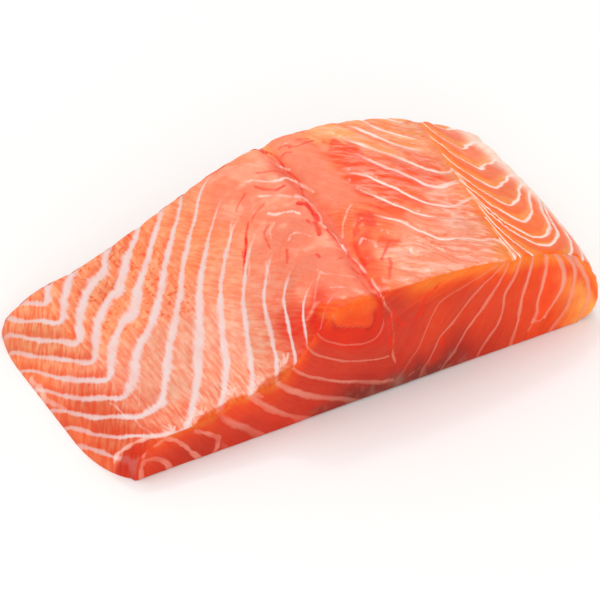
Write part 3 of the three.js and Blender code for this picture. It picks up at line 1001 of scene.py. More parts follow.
        belly_white = curve(self.belly_white, u - 4.0 * smoothstep(v, 60.0, 68.0))
        shoulder = 0.45 * smoothstep(v, 28.0, 6.0) * bell(u, 62.5, 4.0)
        started = smoothstep(u - curve(self.loin_from, loin), -1.0, 3.5)
        loin_white = started * smoothstep(curve(self.loin_to, loin) - u, -2.0, 1.5)
        broken = lerp(0.5, 0.95, smoothstep(self._wave(Grain.MIDDLE, 21.0), -0.5, 0.3))
        loin_white = loin_white * broken * (loin > -0.5)
        back_white = lerp(0.95, 0.6, smoothstep(u, 147.0, 154.0))
        ring_white = curve(self.ring_white, ring) * smoothstep(u, 30.0, 34.0)
        ring_white = ring_white * lerp(0.5, 1.0, smoothstep(z, 0.0, 9.0))
        under_loop = (fan > 4.5) & (fan < 6.6) & (z < 5.6)
        fan_white = curve(self.fan_white, fan) * lerp(0.45, 1.0, smoothstep(z, 0.0, 16.0)) * ~under_loop
        white = self._by_zone(belly_white + shoulder, loin_white, back_white, ring_white, fan_white)
        white = white * (1.0 - 0.85 * self.on_lip) * (1.0 + 0.2 * self._wave(Grain.SMALL, 51.0))
        return {"seam_half": half * steep * waver,
                "seam_white": np.clip(white, 0.0, 1.0) * lerp(1.0, 0.35, self.below)}

    def _fibres(self) -> dict[str, Array]:
        """Works out the fibres.

        Returns:
            How strongly they show, and by how much they lean outwards and inwards.
        """
        u, v = self.u, self.v
        belly = curve(self.belly_fibres, u)
        belly = belly + 0.45 * smoothstep(v, 26.0, 10.0) * bell(u, 57.0, 6.0)
        front = smoothstep(v, 12.0, 3.0) * smoothstep(u, 14.0, 20.0) * smoothstep(u, 78.0, 66.0)
        belly = belly + 0.55 * front
        loin = 0.5 + 0.3 * smoothstep(self._wave(Grain.MIDDLE, 5.0), -0.2, 0.6)
        smooth = smoothstep(self.past_septum, 12.0, 8.0) * smoothstep(v, 34.0, 42.0)
        show = self._by_zone(1.3 * belly, loin * (1.0 - 0.8 * smooth), 0.35, 0.35, 0.4)
        return {"fibre_show": np.clip(show, 0.0, 1.0),
                "outer_fibres": smoothstep(u + 0.6 * self._wave(Grain.SMALL, 2.0), 14.0, 12.6),
                "inner_fibres": smoothstep(u, 43.0, 52.0)}

    def _moisture(self) -> dict[str, Array]:
        """Works out what else lies in and on the flesh of the top.

        Returns:
            How strongly brown mottles, pale smears of fat with painted wet sheen, and the film of moisture
            show.
        """
        u, v, out = self.u, self.v, self.past_ridge
        hollow = soft_patch(u, v, (102.0, 12.5), (11.0, 4.5), self._wave(Grain.MIDDLE, 3.0))
        mottle = smoothstep(u, 16.0, 24.0) * smoothstep(u, 50.0, 40.0) * smoothstep(v + 0.4 * u, 48.0, 56.0)
        # Pale smears where fat films the loin, lightened as painted sheen of the wet film.
        front = smoothstep(self.past_septum, 5.0, 9.0) * smoothstep(v, 22.0, 14.0)
        side = smoothstep(out, -17.0, -11.0) * smoothstep(v, 40.0, 32.0)
        rear = smoothstep(u, 94.0, 100.0) * smoothstep(v, 28.0, 36.0)
        pale = np.maximum.reduce([0.6 * front, 0.7 * side, 0.3 * rear, 0.4 * smoothstep(out, -14.0, -6.0)])
        pale = np.clip(pale * smoothstep(out, -0.5, -4.5), 0.0, 1.0)
        glow = smoothstep(out, -26.0, -18.0) * smoothstep(out, 2.0, -4.0)
        saddle = smoothstep(self.past_septum, -22.0, -10.0)
        wet = np.maximum.reduce([0.8 * hollow, 0.7 * glow, 0.4 * saddle]) * (self.past_septum > -22.0)
        on_top = ~self.on_cut * (1.0 - self.below)
        shows = {"mottle": np.maximum(mottle, 0.7 * hollow), "pale": pale, "wet": wet}
        return {name: show * on_top for name, show in shows.items()}

    def _threads(self) -> dict[str, Array]:
        """Measures from the listed threads and tears.

        Returns:
            Distance from the nearest thread and tear, and how strongly each shows.
        """
        waver = 0.6 * self._wave(Grain.FINE, 71.0)
        sway = 0.4 * self._wave(Grain.SMALL, 41.0), 0.4 * self._wave(Grain.SMALL, 83.0)
        on_top = ~self.on_cut & (self.below < 0.5)
        on_front = self.on_cut & (self.v < self.portion.width / 2)
        clear = smoothstep(self._wave(Grain.SMALL, 99.0), -0.5, 0.3)
        result = {}
        for name, top, cut, faintest in (("thread", TOP_THREADS, CUT_THREADS, 0.55),
                                         ("tear", TOP_TEARS, CUT_TEARS, 0.8)):
            gap, strength = np.full(len(self.u), self.farthest), np.zeros(len(self.u))
            for threads, here, second in ((top, on_top, self.v), (cut, on_front, self.z)):
                a, b = self.u[here] + sway[0][here], second[here] + sway[1][here]
                near, show = gap[here], strength[here]
                for thread in threads:
                    away = thread.gap(a, b, waver[here])
                    show = np.where(away < near, thread.strength, show)
                    near = np.minimum(near, away)
                gap[here], strength[here] = near, show
            result |= {name + "_gap": gap, name + "_show": strength * lerp(faintest, 1.0, clear)}
        return result

    def _relief(self, values: dict[str, Array]) -> dict[str, Array]:
        """Works out the relief.

        Args:
            values: The distances from threads and tears.

        Returns:
            Swell of the flesh between seams as a share, and other relief in mm.
        """
        v, z, past, out = self.v, self.z, self.past_septum, self.past_ridge
        edge = smoothstep(np.minimum(v, self.portion.width - v), 6.0, 1.0)
        top = lerp(np.where(past < 0.0, 0.45, smoothstep(out, -36.0, -30.0)), 1.0, edge)
        top = top * smoothstep(np.minimum(np.abs(past), np.abs(out)), 0.0, 2.5)
        swell = np.where(self.on_cut, 1.0, top) * smoothstep(z, 0.0, 2.5)
        tear = 0.5 * values["tear_show"] * smoothstep(values["tear_gap"], 0.15, -0.7)
        thread = 0.12 * values["thread_show"] * smoothstep(values["thread_gap"], 0.3, -0.4)
        waves = sum(height * self._wave(grain, shift) for height, grain, shift in self.waves)
        loin_waves = sum(height * self._wave(grain, shift) for height, grain, shift in self.loin_waves)
        loin = smoothstep(past, 0.0, 4.0) * smoothstep(out, 0.0, -4.0) * (1.0 - self.on_cut)
        relief = (waves + loin * loin_waves - 0.2 - tear + thread) * smoothstep(z, 0.0, 3.0)
        return {"swell": swell, "relief": relief}

    def _colours(self, values: dict[str, Array]) -> Array:
        """Colours the flesh between the seams.

        Args:
            values: The sheet numbers.

        Returns:
            (n, 3) linear colours.
        """
        flesh = Paint(Tint.PEACH, len(self.u))
        self._lay_belly(flesh, values["belly_sheet"])
        self._lay_loin(flesh, values["loin_sheet"])
        self._lay_back(flesh, values["back_sheet"])
        flesh.lay(Tint.FRAYED, 0.6 * self.frayed * smoothstep(self._wave(Grain.FINE, 63.0), -0.2, 0.5))
        cut = Paint(Tint.CUT, len(self.u))
        self._lay_cut(cut, values["ring_sheet"])
        over_edge = smoothstep(self.facing, CUT_FACING - 0.06, CUT_FACING + 0.02)
        flesh.lay(cut.colour, np.maximum(over_edge, self.on_lip))
        base = Paint(Tint.UNDERSIDE, len(self.u))
        base.lay(Tint.SILVER, 0.6 * smoothstep(self.blot, -0.1, 0.4))
        base.lay(Tint.DARK_MUSCLE, 0.85 * smoothstep(np.abs(self.u - 84.0 + 3.0 * self.middle), 18.0, 10.0))
        flesh.lay(base.colour, self.below)
        shade = 1.0 + 0.05 * self.broad + 0.05 * self.middle + 0.03 * self.small
        shades = np.random.default_rng(self.seed).uniform(0.94, 1.06, self.shades)
        sheet_shade = shades[np.floor(values["sheet"]).astype(int) % self.shades]
        return flesh.colour * (shade * sheet_shade)[:, None]

    def _lay_belly(self, paint: Paint, sheet: Array) -> None:
        """Lays the belly: pale in front, the thin margin, brown behind each seam, shoulder, and saddle with
        painted wet sheen.

        Args:
            paint: What to lay it on.
            sheet: Number of the belly's sheet.
        """
        u, v, past, blot, middle, small = self.u, self.v, self.past_septum, self.blot, self.middle, self.small
        paint.lay(Tint.PALE_PEACH, 0.8 * soft_patch(u, v, (38.0, 20.0), (15.0, 19.0), 0.5 * blot))
        paint.lay(Tint.WARM_PEACH, smoothstep(v + 10.0 * blot, 28.0, 52.0))
        paint.lay(Tint.BAND, 0.25 * smoothstep(v + 8.0 * blot, 34.0, 56.0) * smoothstep(middle, -0.2, 0.7))
        front = lerp(0.85, 0.1, smoothstep(v, 24.0, 48.0))
        paint.lay(Tint.MARGIN, front * smoothstep(u - 2.0 * middle, 14.0, 9.0))
        paint.lay(Tint.BAND, 0.35 * smoothstep(u, 5.0, 1.0))
        thin, rear = smoothstep(u, 26.0, 10.0) * smoothstep(v, 70.0, 40.0), smoothstep(v, 44.0, 66.0)
        behind = smoothstep(sheet % 1.0 + 0.12 * small, 0.6, 0.2) * smoothstep(u, 60.0, 52.0)
        paint.lay(Tint.BROWNED, lerp(0.15, 0.55, np.maximum(thin, 0.6 * rear)) * behind)
        climb = smoothstep(u + 4.0 * middle, 50.0, 56.0) * smoothstep(u, 68.0, 62.0)
        paint.lay(Tint.LEAN, 0.3 * climb * smoothstep(v, 30.0, 14.0))
        rear = lerp(1.0, 0.55, smoothstep(v, 60.0, 72.0))
        paint.lay(Tint.CORAL, smoothstep(u + 4.0 * blot, 55.0, 66.0) * rear)
        # Painted wet sheen in pale spots over the saddle.
        saddle = smoothstep(u + 3.0 * small, 60.0, 66.0) * smoothstep(past, 0.5, -2.0)
        saddle = saddle * smoothstep(v, 4.0, 10.0)
        spots = smoothstep(middle + 0.6 * small + 0.5 * self._wave(Grain.FINE, 29.0), 0.0, 0.7)
        paint.lay(Tint.ROSE_SHEEN, 0.65 * saddle * spots)
        shoulder = smoothstep(u, 52.0, 57.0) * smoothstep(u, 69.5, 64.0)
        paint.lay(Tint.LEAN, 0.8 * shoulder * smoothstep(v + 4.0 * middle, 17.0, 8.0))
        paint.lay(Tint.LEAN, 0.35 * smoothstep(np.abs(past + 1.0), 3.5, 0.5))

    def _lay_loin(self, paint: Paint, sheet: Array) -> None:
        """Lays the loin: bands between its seams, torn patches, and pale flesh in front with painted wet
        sheen.

        Args:
            paint: What to lay it on.
            sheet: Number of the loin's sheet.
        """
        u, v, past, out = self.u, self.v, self.past_septum, self.past_ridge
        blot, middle, small = self.blot, self.middle, self.small
        ahead, beyond = sheet % 1.0, smoothstep(past, 0.5, 2.0)
        torn = 0.5 * blot + 0.8 * self._wave(Grain.FINE, 29.0)
        grain = self.noise[Grain.FINE].at(9.0 * sheet, 0.3 * u)  # drawn out along the seams
        paint.lay(Tint.LOIN, smoothstep(past, 0.0, 2.0))
        banded = smoothstep(u + 3.0 * blot + 3.0 * grain, 93.0, 100.0) * smoothstep(v, 22.0, 32.0)
        banded = banded * lerp(0.45, 1.0, smoothstep(grain, -0.5, 0.4))
        paint.lay(Tint.PATCH, banded * lerp(0.25, 1.0, smoothstep(ahead + 0.2 * small, 0.15, 0.5)))
        at_seam = smoothstep(ahead + 0.1 * small, 0.7, 0.92) * smoothstep(out, -4.0, -12.0)
        paint.lay(Tint.LEAN, 0.45 * banded * at_seam)
        rear = smoothstep(v + 0.55 * (u - 100.0) + 6.0 * blot, 56.0, 72.0)
        paint.lay(Tint.GOLD, lerp(0.45, 0.95, smoothstep(grain, -0.5, 0.5)) * rear)
        smooth = smoothstep(u + 2.0 * small + 3.0 * grain, 100.0, 94.0) * smoothstep(v, 33.0, 40.0)
        paint.lay(Tint.CORAL, 0.9 * beyond * smooth)
        for middle_at, radii in (((102.0, 56.5), (5.0, 8.0)), ((98.2, 44.5), (2.2, 5.5))):
            paint.lay(Tint.PATCH, 0.95 * soft_patch(u, v, middle_at, radii, torn))
        streaks = smoothstep(middle + 0.5 * small, -0.3, 0.3) * smoothstep(v, 29.0, 24.0)
        paint.lay(Tint.LEAN, 0.7 * beyond * smoothstep(past - 0.25 * v, 4.0, 0.0) * streaks)
        # Pale flesh in front and beside the ridge, lightened as painted sheen of the wet film.
        front = smoothstep(v - 0.6 * past + 5.0 * small, 18.0, 11.0)
        paint.lay(Tint.ROSE_SHEEN, 0.5 * smoothstep(past, 4.0, 9.0) * front)
        front = smoothstep(v + 4.0 * small, 26.0, 21.0) * smoothstep(v, 11.0, 15.0)
        paint.lay(Tint.ROSE_SHEEN, 0.45 * smoothstep(out, -17.0, -13.0) * front)
        # The first, pale patch is painted sheen of the wet film.
        for tint, share, middle_at, radii, ragged in (
                (Tint.ROSE_SHEEN, 0.8, (120.5, 33.5), (4.0, 2.6), small),
                (Tint.LEAN, 0.7, (91.8, 29.0), (2.2, 5.0), torn),
                (Tint.PATCH, 0.85, (91.5, 18.5), (3.4, 4.0), torn),
                (Tint.AMBER, 1.0, (119.3, 2.8), (3.4, 3.6), small)):
            paint.lay(tint, share * soft_patch(u, v, middle_at, radii, ragged))

    def _lay_back(self, paint: Paint, sheet: Array) -> None:
        """Lays the back: a band behind each seam, a painted highlight along the outer edge and the fat under
        the ridge.

        Args:
            paint: What to lay it on.
            sheet: Number of the back's sheet.
        """
        out = self.past_ridge
        paint.lay(Tint.BACK, smoothstep(out, -1.0, 0.5))
        behind = smoothstep(sheet % 1.0 + 0.15 * self.small, 0.1, 0.5)
        paint.lay(Tint.BAND, smoothstep(out, 0.0, 1.5) * lerp(0.2, 1.0, behind))
        # Painted highlight along the outer edge of the back.
        paint.lay(Tint.RIM_HIGHLIGHT, 0.95 * smoothstep(self.u, 144.0, 150.5))
        paint.lay(Tint.AMBER, 0.9 * bell(out, -0.5, 1.6) + 0.5 * smoothstep(out, -9.0, -1.0) * (out < 0.0))

    def _lay_cut(self, paint: Paint, ring: Array) -> None:
        """Lays the two cuts: painted glow under their upper edge, the lip, the core, the loin's and the
        back's cut, and the dark base strip.

        Args:
            paint: What to lay it on.
            ring: Number of the ring about the core.
        """
        u, z, depth, middle, small = self.u, self.z, self.depth, self.middle, self.small
        left = self.past_septum < 0.0
        right = ~left
        belly, inland = smoothstep(u, 62.0, 52.0), smoothstep(u, 9.0, 17.0)
        paint.lay(Tint.CUT_WARM, right * 0.35 * smoothstep(u, 88.0, 96.0))
        low = smoothstep(z + 4.0 * middle, 14.0, 3.0)
        paint.lay(Tint.CUT_DEEP, low * smoothstep(u, 50.0, 66.0) * smoothstep(u, 124.0, 104.0))
        # Painted glow of light through the flesh under the upper edge of the belly's cut: warm, and orange on
        # the lip.
        upper = smoothstep(depth + 1.5 * small, lerp(5.0, 9.0, belly), 0.5)
        paint.lay(Tint.CUT_WARM, lerp(0.3, 0.65, inland) * upper)
        paint.lay(Tint.CUT_DEEP, 0.5 * smoothstep(u, 60.0, 50.0) * smoothstep(z + 3.0 * middle, 9.0, 1.0))
        paint.lay(Tint.LIP_GLOW, 0.9 * inland * belly * smoothstep(depth + 1.2 * small - 0.5 * self.v, 3.0, -0.5))
        paint.lay(Tint.SCARLET, left * smoothstep(ring, 1.5, 0.9))
        paint.lay(Tint.CORE, left * smoothstep(ring, 0.1, -0.05))
        paint.lay(Tint.CUT_DEEP, left * 0.7 * bell(ring, 0.1, 0.11) * smoothstep(z, 30.5, 27.5))
        # Painted glow of light through the flesh over the top of the core, under the upper edge.
        upper = smoothstep(depth + 1.5 * small, 5.0, 0.5)
        paint.lay(Tint.AMBER, left * 0.4 * smoothstep(ring, 0.6, 0.1) * upper)
        paint.lay(Tint.CUT_WARM, right * 0.8 * smoothstep(u + 0.5 * z, 118.0, 138.0))
        paint.lay(Tint.BACK, right * smoothstep(u + 2.0 * small, 132.0, 144.0))
        # Painted glow under the upper edge of the loin's cut: orange, and amber nearest the edge.
        paint.lay(Tint.CORE, right * smoothstep(depth + small, 10.0, 3.0) * smoothstep(u, 82.0, 92.0))
        upper = smoothstep(depth + 0.8 * small, 5.4, 1.6)
        paint.lay(Tint.AMBER, right * 0.85 * upper * smoothstep(u, 84.0, 92.0))
        strip = smoothstep(z + 1.6 * middle + 1.2 * small, 7.0, 1.5)
        strip = strip * smoothstep(u, 54.0, 64.0) * smoothstep(u, 112.0, 98.0)
        paint.lay(Tint.DARK_MUSCLE, 0.9 * strip)
        paint.lay(Tint.SILVER, 0.3 * strip * smoothstep(self._wave(Grain.FINE, 11.0), 0.1, 0.6))
        wedge = smoothstep(z + 2.0 * small, 9.0, 4.0) * smoothstep(np.abs(u - 86.5), 7.0, 3.5)
        paint.lay(Tint.DARK_MUSCLE, 0.55 * wedge)
        paint.lay(Tint.SILVER, 0.4 * smoothstep(z + 2.0 * small, 8.0, 3.0) * bell(u, 84.5, 2.0))


# ---- Node trees ---------------------------------------------------------------------------

Socket = bpy.types.NodeSocket
Outputs = bpy.types.bpy_prop_collection
MATH, MIX, RANGE = "ShaderNodeMath", "ShaderNodeMix", "ShaderNodeMapRange"
NOISE, VECTOR = "ShaderNodeTexNoise", "ShaderNodeVectorMath"


def add_node(tree: bpy.types.NodeTree, kind: str, wires: dict, **settings: object) -> Outputs:
    """Adds a node with its settings and links.

    Args:
        tree: Tree to add it to.
        kind: Blender's name for the node.
        wires: For each input, by name or number, the socket linked to it or its value.
        **settings: The node's own properties.

    Returns:
        The node's outputs.
    """
    made = tree.nodes.new(kind)
    for name, value in settings.items():
        setattr(made, name, value)
    for key, value in wires.items():
        if isinstance(value, Socket):
            tree.links.new(value, made.inputs[key])
        else:
            made.inputs[key].default_value = value
    return made.outputs


@dataclass(frozen=True)
class RawSalmon:
    """Raw salmon flesh, freshly cut: fat seams and fibres under a thin film of its own moisture.

    The flesh lets some light through, so shadows in it glow red, and the moist film gives soft wet glints.
    """

    name: str = "Raw salmon flesh"
    fat: str = "#e6c8c3"  # seams of fat on the top
    cut_fat: str = "#ee9a84"  # seams seen through the moist cut
    thread: str = "#fadccf"
    tear: str = "#ec2604"
    pale: str = "#fcc3ad"  # streaks where a film of fat lies on the loin, lightened as painted sheen of the wet film
    # What is left of the flesh's red, green and blue under a red fibre, a brown mottle and a dark cloud.
    lean_fibre: tuple[float, float, float, float] = (0.98, 0.52, 0.38, 1.0)
    brown: tuple[float, float, float, float] = (0.93, 0.50, 0.30, 1.0)
    cloud: tuple[float, float, float, float] = (0.99, 0.83, 0.73, 1.0)
    fibre_pitch: float = 0.82  # mm from one fibre to the next, drawn as coarse as it needs to show
    fibre_length: float = 5.0
    outer_lean: float = 29.0  # degrees, beside the belly edge
    inner_lean: float = -27.0  # degrees, towards the backbone
    streak_width: float = 0.9  # mm, fibres that run along the seams
    streak_length: float = 9.0
    waver_size: float = 2.2  # mm, wander of a seam's edge
    waver: float = 1.1  # how far it wanders, as a share of its half width
    fray: float = 0.3  # how far the fibres fray a seam, the same way
    mottle_size: float = 1.5
    cloud_size: float = 2.6
    pale_lean: float = 29.5
    pale_pitch: float = 1.7
    pale_stretch: float = 0.2
    # Where a pattern, or the distance from an edge, starts to show and where it shows in full.
    fibre_range: tuple[float, float] = (0.39, 0.61)
    cloud_range: tuple[float, float] = (0.38, 0.62)
    mottle_range: tuple[float, float] = (0.54, 0.62)
    pale_range: tuple[float, float] = (0.46, 0.6)
    seam_range: tuple[float, float] = (1.65, 0.35)  # half widths
    tear_range: tuple[float, float] = (0.35, -0.15)  # mm
    thread_range: tuple[float, float] = (0.23, -0.15)
    roughness: tuple[float, float] = (0.42, 0.27)  # dry, wet
    film: tuple[float, float] = (0.06, 0.4)  # weight of the moist film, dry and wet
    cut_film: float = 0.03
    film_roughness: float = 0.1
    film_ior: float = 1.5
    ior: float = 1.4
    specular: float = 0.22
    bump: float = 0.25
    bump_depth: float = 0.12  # mm
    glow: float = 0.15  # share of the light that passes into the flesh
    glow_reach: tuple[float, float, float] = (1.0, 0.32, 0.18)  # mm in red, green and blue

    def make(self) -> bpy.types.Material:
        """Makes the material.

        Returns:
            The material, which reads the attributes of the fillet's skin.
        """
        material = bpy.data.materials.new(self.name)
        material.use_nodes = True
        material.node_tree.nodes.clear()
        FleshWiring(self, material.node_tree).wire()
        return material

    def fibre_scale(self) -> tuple[float, float, float]:
        """Fibres per metre across, along and down."""
        along = 1.0 / (self.fibre_length * MM)
        return 1.0 / (self.fibre_pitch * MM), along, along

    def pale_scale(self) -> tuple[float, float, float]:
        """Pale streaks per metre along, across and down."""
        across = 1.0 / (self.pale_pitch * MM)
        return self.pale_stretch * across, across, across

    def streak_scale(self) -> tuple[float, float, float]:
        """Streaks to a streak's width across the seams, and per metre along them and down."""
        along = 1.0 / (self.streak_length * MM)
        return 1.0, along, along


@dataclass
class FleshWiring:
    """Wires the shader of raw salmon flesh: each step draws one thing that shows."""

    look: RawSalmon
    tree: bpy.types.NodeTree

    def __post_init__(self) -> None:
        """Reads the skin's attributes and the place, and tells the zones apart."""
        self.add = add = partial(add_node, self.tree)
        self.value = value = {name: add("ShaderNodeAttribute", {}, attribute_name=name)["Fac"] for name in (
            "belly_sheet", "loin_sheet", "back_sheet", "ring_sheet", "fan_sheet", "past_septum", "past_ridge",
            "cut_facing", "seam_half", "seam_white", "fibre_show", "outer_fibres", "inner_fibres",
            "mottle", "pale", "wet", "thread_gap", "thread_show", "tear_gap", "tear_show")}
        self.place = add("ShaderNodeTexCoord", {})["Object"]
        self.right, self.beyond, self.on_cut = (
            add(MATH, {0: value[name], 1: line}, operation="GREATER_THAN")[0]
            for name, line in (("past_septum", 0.0), ("past_ridge", 0.0), ("cut_facing", CUT_FACING)))

    def wire(self) -> None:
        """Joins the steps and gives the flesh its film, its grain and its glow."""
        look, add = self.look, self.add
        sheet = self._sheet()
        fibre = self._fibre(sheet)
        seam = self._seam(sheet, fibre)
        colour = self._fat(self._flesh(fibre), seam)
        roughness, film = (add(RANGE, {"Value": self.value["wet"], "To Min": dry, "To Max": full})[0]
                           for dry, full in (look.roughness, look.film))
        film = add(MIX, {0: self.on_cut, 2: film, 3: look.cut_film})[0]
        height = add(MATH, {0: fibre, 1: -0.5, 2: seam}, operation="MULTIPLY_ADD")[0]
        normal = add("ShaderNodeBump", {"Height": height, "Strength": look.bump,
                                        "Distance": look.bump_depth * MM})[0]
        surface = add("ShaderNodeBsdfPrincipled", {
            "Base Color": colour, "Roughness": roughness, "Normal": normal, "IOR": look.ior,
            "Specular IOR Level": look.specular, "Subsurface Weight": look.glow,
            "Subsurface Radius": look.glow_reach, "Subsurface Scale": MM,
            "Coat Weight": film, "Coat Roughness": look.film_roughness, "Coat IOR": look.film_ior})[0]
        add("ShaderNodeOutputMaterial", {"Surface": surface})

    def _sheet(self) -> Socket:
        """Picks the number of the sheet from the zone's own numbering.

        Returns:
            The number.
        """
        add, value, right = self.add, self.value, self.right
        top = add(MIX, {0: right, 2: value["belly_sheet"], 3: value["loin_sheet"]})[0]
        top = add(MIX, {0: self.beyond, 2: top, 3: value["back_sheet"]})[0]
        cut = add(MIX, {0: right, 2: value["ring_sheet"], 3: value["fan_sheet"]})[0]
        return add(MIX, {0: self.on_cut, 2: top, 3: cut})[0]

    def _fibre(self, sheet: Socket) -> Socket:
        """Draws the fibres: three ways over the belly, and along the seams elsewhere.

        Args:
            sheet: Number of the sheet.

        Returns:
            1 on a red fibre, 0 between.
        """
        look, add = self.look, self.add
        fibre = None
        ways = (0.0, None), (look.outer_lean, "outer_fibres"), (look.inner_lean, "inner_fibres")
        for lean, share in ways:
            turned = add("ShaderNodeVectorRotate", {"Vector": self.place, "Angle": math.radians(lean)},
                         rotation_type="Z_AXIS")[0]
            drawn = add(VECTOR, {0: turned, 1: look.fibre_scale()}, operation="MULTIPLY")[0]
            grain = add(NOISE, {"Vector": drawn, "Scale": 1.0, "Detail": 2.0, "Roughness": 0.55})["Fac"]
            fibre = grain if share is None else add(MIX, {0: self.value[share], 2: fibre, 3: grain})[0]
        spread = add("ShaderNodeSeparateXYZ", {0: self.place})
        across = add(MATH, {0: sheet, 1: BELLY_PITCH / look.streak_width}, operation="MULTIPLY")[0]
        drawn = add("ShaderNodeCombineXYZ", {0: across, 1: spread[0], 2: spread[2]})[0]
        drawn = add(VECTOR, {0: drawn, 1: look.streak_scale()}, operation="MULTIPLY")[0]
        streak = add(NOISE, {"Vector": drawn, "Scale": 1.0, "Detail": 2.0})["Fac"]
        off_belly = add(MATH, {0: self.right, 1: self.on_cut}, operation="MAXIMUM")[0]
        fibre = add(MIX, {0: off_belly, 2: fibre, 3: streak})[0]
        low, high = look.fibre_range
        return add(RANGE, {"Value": fibre, "From Min": low, "From Max": high})[0]

    def _seam(self, sheet: Socket, fibre: Socket) -> Socket:
        """Draws the seams, with a wandering edge that the fibres fray.

        Args:
            sheet: Number of the sheet.
            fibre: The fibres.

        Returns:
            How far a point is covered by a seam's fat.
        """
        look, add, half = self.look, self.add, self.value["seam_half"]
        waver = add(NOISE, {"Vector": self.place, "Scale": 1.0 / (look.waver_size * MM), "Detail": 3.0,
                            "Roughness": 0.6})["Fac"]
        shift = add(MATH, {0: waver, 1: -0.5}, operation="ADD")[0]
        shift = add(MATH, {0: shift, 1: half}, operation="MULTIPLY")[0]
        moved = add(MATH, {0: shift, 1: look.waver, 2: sheet}, operation="MULTIPLY_ADD")[0]
        nearest = add(MATH, {0: moved}, operation="ROUND")[0]
        apart = add(MATH, {0: moved, 1: nearest}, operation="SUBTRACT")[0]
        apart = add(MATH, {0: apart}, operation="ABSOLUTE")[0]
        share = add(MATH, {0: apart, 1: half}, operation="DIVIDE")[0]
        fray = add(MATH, {0: fibre, 1: -0.5}, operation="ADD")[0]
        share = add(MATH, {0: fray, 1: look.fray, 2: share}, operation="MULTIPLY_ADD")[0]
        start, full = look.seam_range
        seam = add(RANGE, {"Value": share, "From Min": start, "From Max": full},
                   interpolation_type="SMOOTHSTEP")[0]
        return add(MATH, {0: seam, 1: self.value["seam_white"]}, operation="MULTIPLY")[0]

    def _flesh(self, fibre: Socket) -> Socket:
        """Draws red fibres, brown mottles, pale smears with painted sheen and tears in flesh with small
        clouds.

        Args:
            fibre: The fibres.

        Returns:
            The flesh's colour without its fat.
        """
        look, add, place = self.look, self.add, self.place
        clouds = add(NOISE, {"Vector": place, "Scale": 1.0 / (look.cloud_size * MM), "Detail": 5.0,
                             "Roughness": 0.7})["Fac"]
        spots = add(NOISE, {"Vector": place, "Scale": 1.0 / (look.mottle_size * MM), "Detail": 3.0})["Fac"]
        turned = add("ShaderNodeVectorRotate", {"Vector": place, "Angle": math.radians(look.pale_lean)},
                     rotation_type="Z_AXIS")[0]
        drawn = add(VECTOR, {0: turned, 1: look.pale_scale()}, operation="MULTIPLY")[0]
        smears = add(NOISE, {"Vector": drawn, "Scale": 1.0, "Detail": 4.0, "Roughness": 0.65})["Fac"]
        clouds, spots, smears, tears = (
            add(RANGE, {"Value": pattern, "From Min": start, "From Max": full})[0]
            for pattern, (start, full) in (
                (clouds, look.cloud_range), (spots, look.mottle_range), (smears, look.pale_range),
                (self.value["tear_gap"], look.tear_range)))
        fibre, spots, smears, tears = (
            add(MATH, {0: pattern, 1: self.value[show]}, operation="MULTIPLY")[0]
            for pattern, show in (
                (fibre, "fibre_show"), (spots, "mottle"), (smears, "pale"), (tears, "tear_show")))
        flesh = add("ShaderNodeAttribute", {}, attribute_name="flesh")["Color"]
        for share, colour, blend in (
                (clouds, look.cloud, "MULTIPLY"), (fibre, look.lean_fibre, "MULTIPLY"),
                (spots, look.brown, "MULTIPLY"), (smears, opaque(look.pale), "MIX"),
                (tears, opaque(look.tear), "MIX")):
            flesh = add(MIX, {0: share, 6: flesh, 7: colour}, data_type="RGBA", blend_type=blend)[2]
        return flesh

    def _fat(self, flesh: Socket, seam: Socket) -> Socket:
        """Lays the seams and the loose threads of fat, one of them a painted glint, over the flesh.

        Args:
            flesh: The flesh's colour.
            seam: How far a point is covered by a seam.

        Returns:
            The colour of it all.
        """
        look, add = self.look, self.add
        start, full = look.thread_range
        thread = add(RANGE, {"Value": self.value["thread_gap"], "From Min": start, "From Max": full})[0]
        thread = add(MATH, {0: thread, 1: self.value["thread_show"]}, operation="MULTIPLY")[0]
        white, cut_white = opaque(look.thread), opaque(look.cut_fat)
        fat = add(MIX, {0: self.right, 6: opaque(look.fat), 7: white}, data_type="RGBA")[2]
        fat = add(MIX, {0: self.on_cut, 6: fat, 7: cut_white}, data_type="RGBA")[2]
        loose = add(MIX, {0: self.on_cut, 6: white, 7: cut_white}, data_type="RGBA")[2]
        seamed = add(MIX, {0: seam, 6: flesh, 7: fat}, data_type="RGBA")[2]
        return add(MIX, {0: thread, 6: seamed, 7: loose}, data_type="RGBA")[2]


@dataclass(frozen=True)
class MattBoard:
    """Plain white matt board, a floor that gives the fillet a soft light from below."""

    name: str = "White matt board"
    colour: str = "#f4f3f1"
    roughness: float = 0.8

    def make(self) -> bpy.types.Material:
        """Makes the material.

        Returns:
            The material.
        """
        material = bpy.data.materials.new(self.name)
        material.use_nodes = True
        shader = material.node_tree.nodes["Principled BSDF"]
        shader.inputs["Base Color"].default_value = opaque(self.colour)
        shader.inputs["Roughness"].default_value = self.roughness
        return material


# ---- Relief by Geometry Nodes ---------------------------------------------------------------

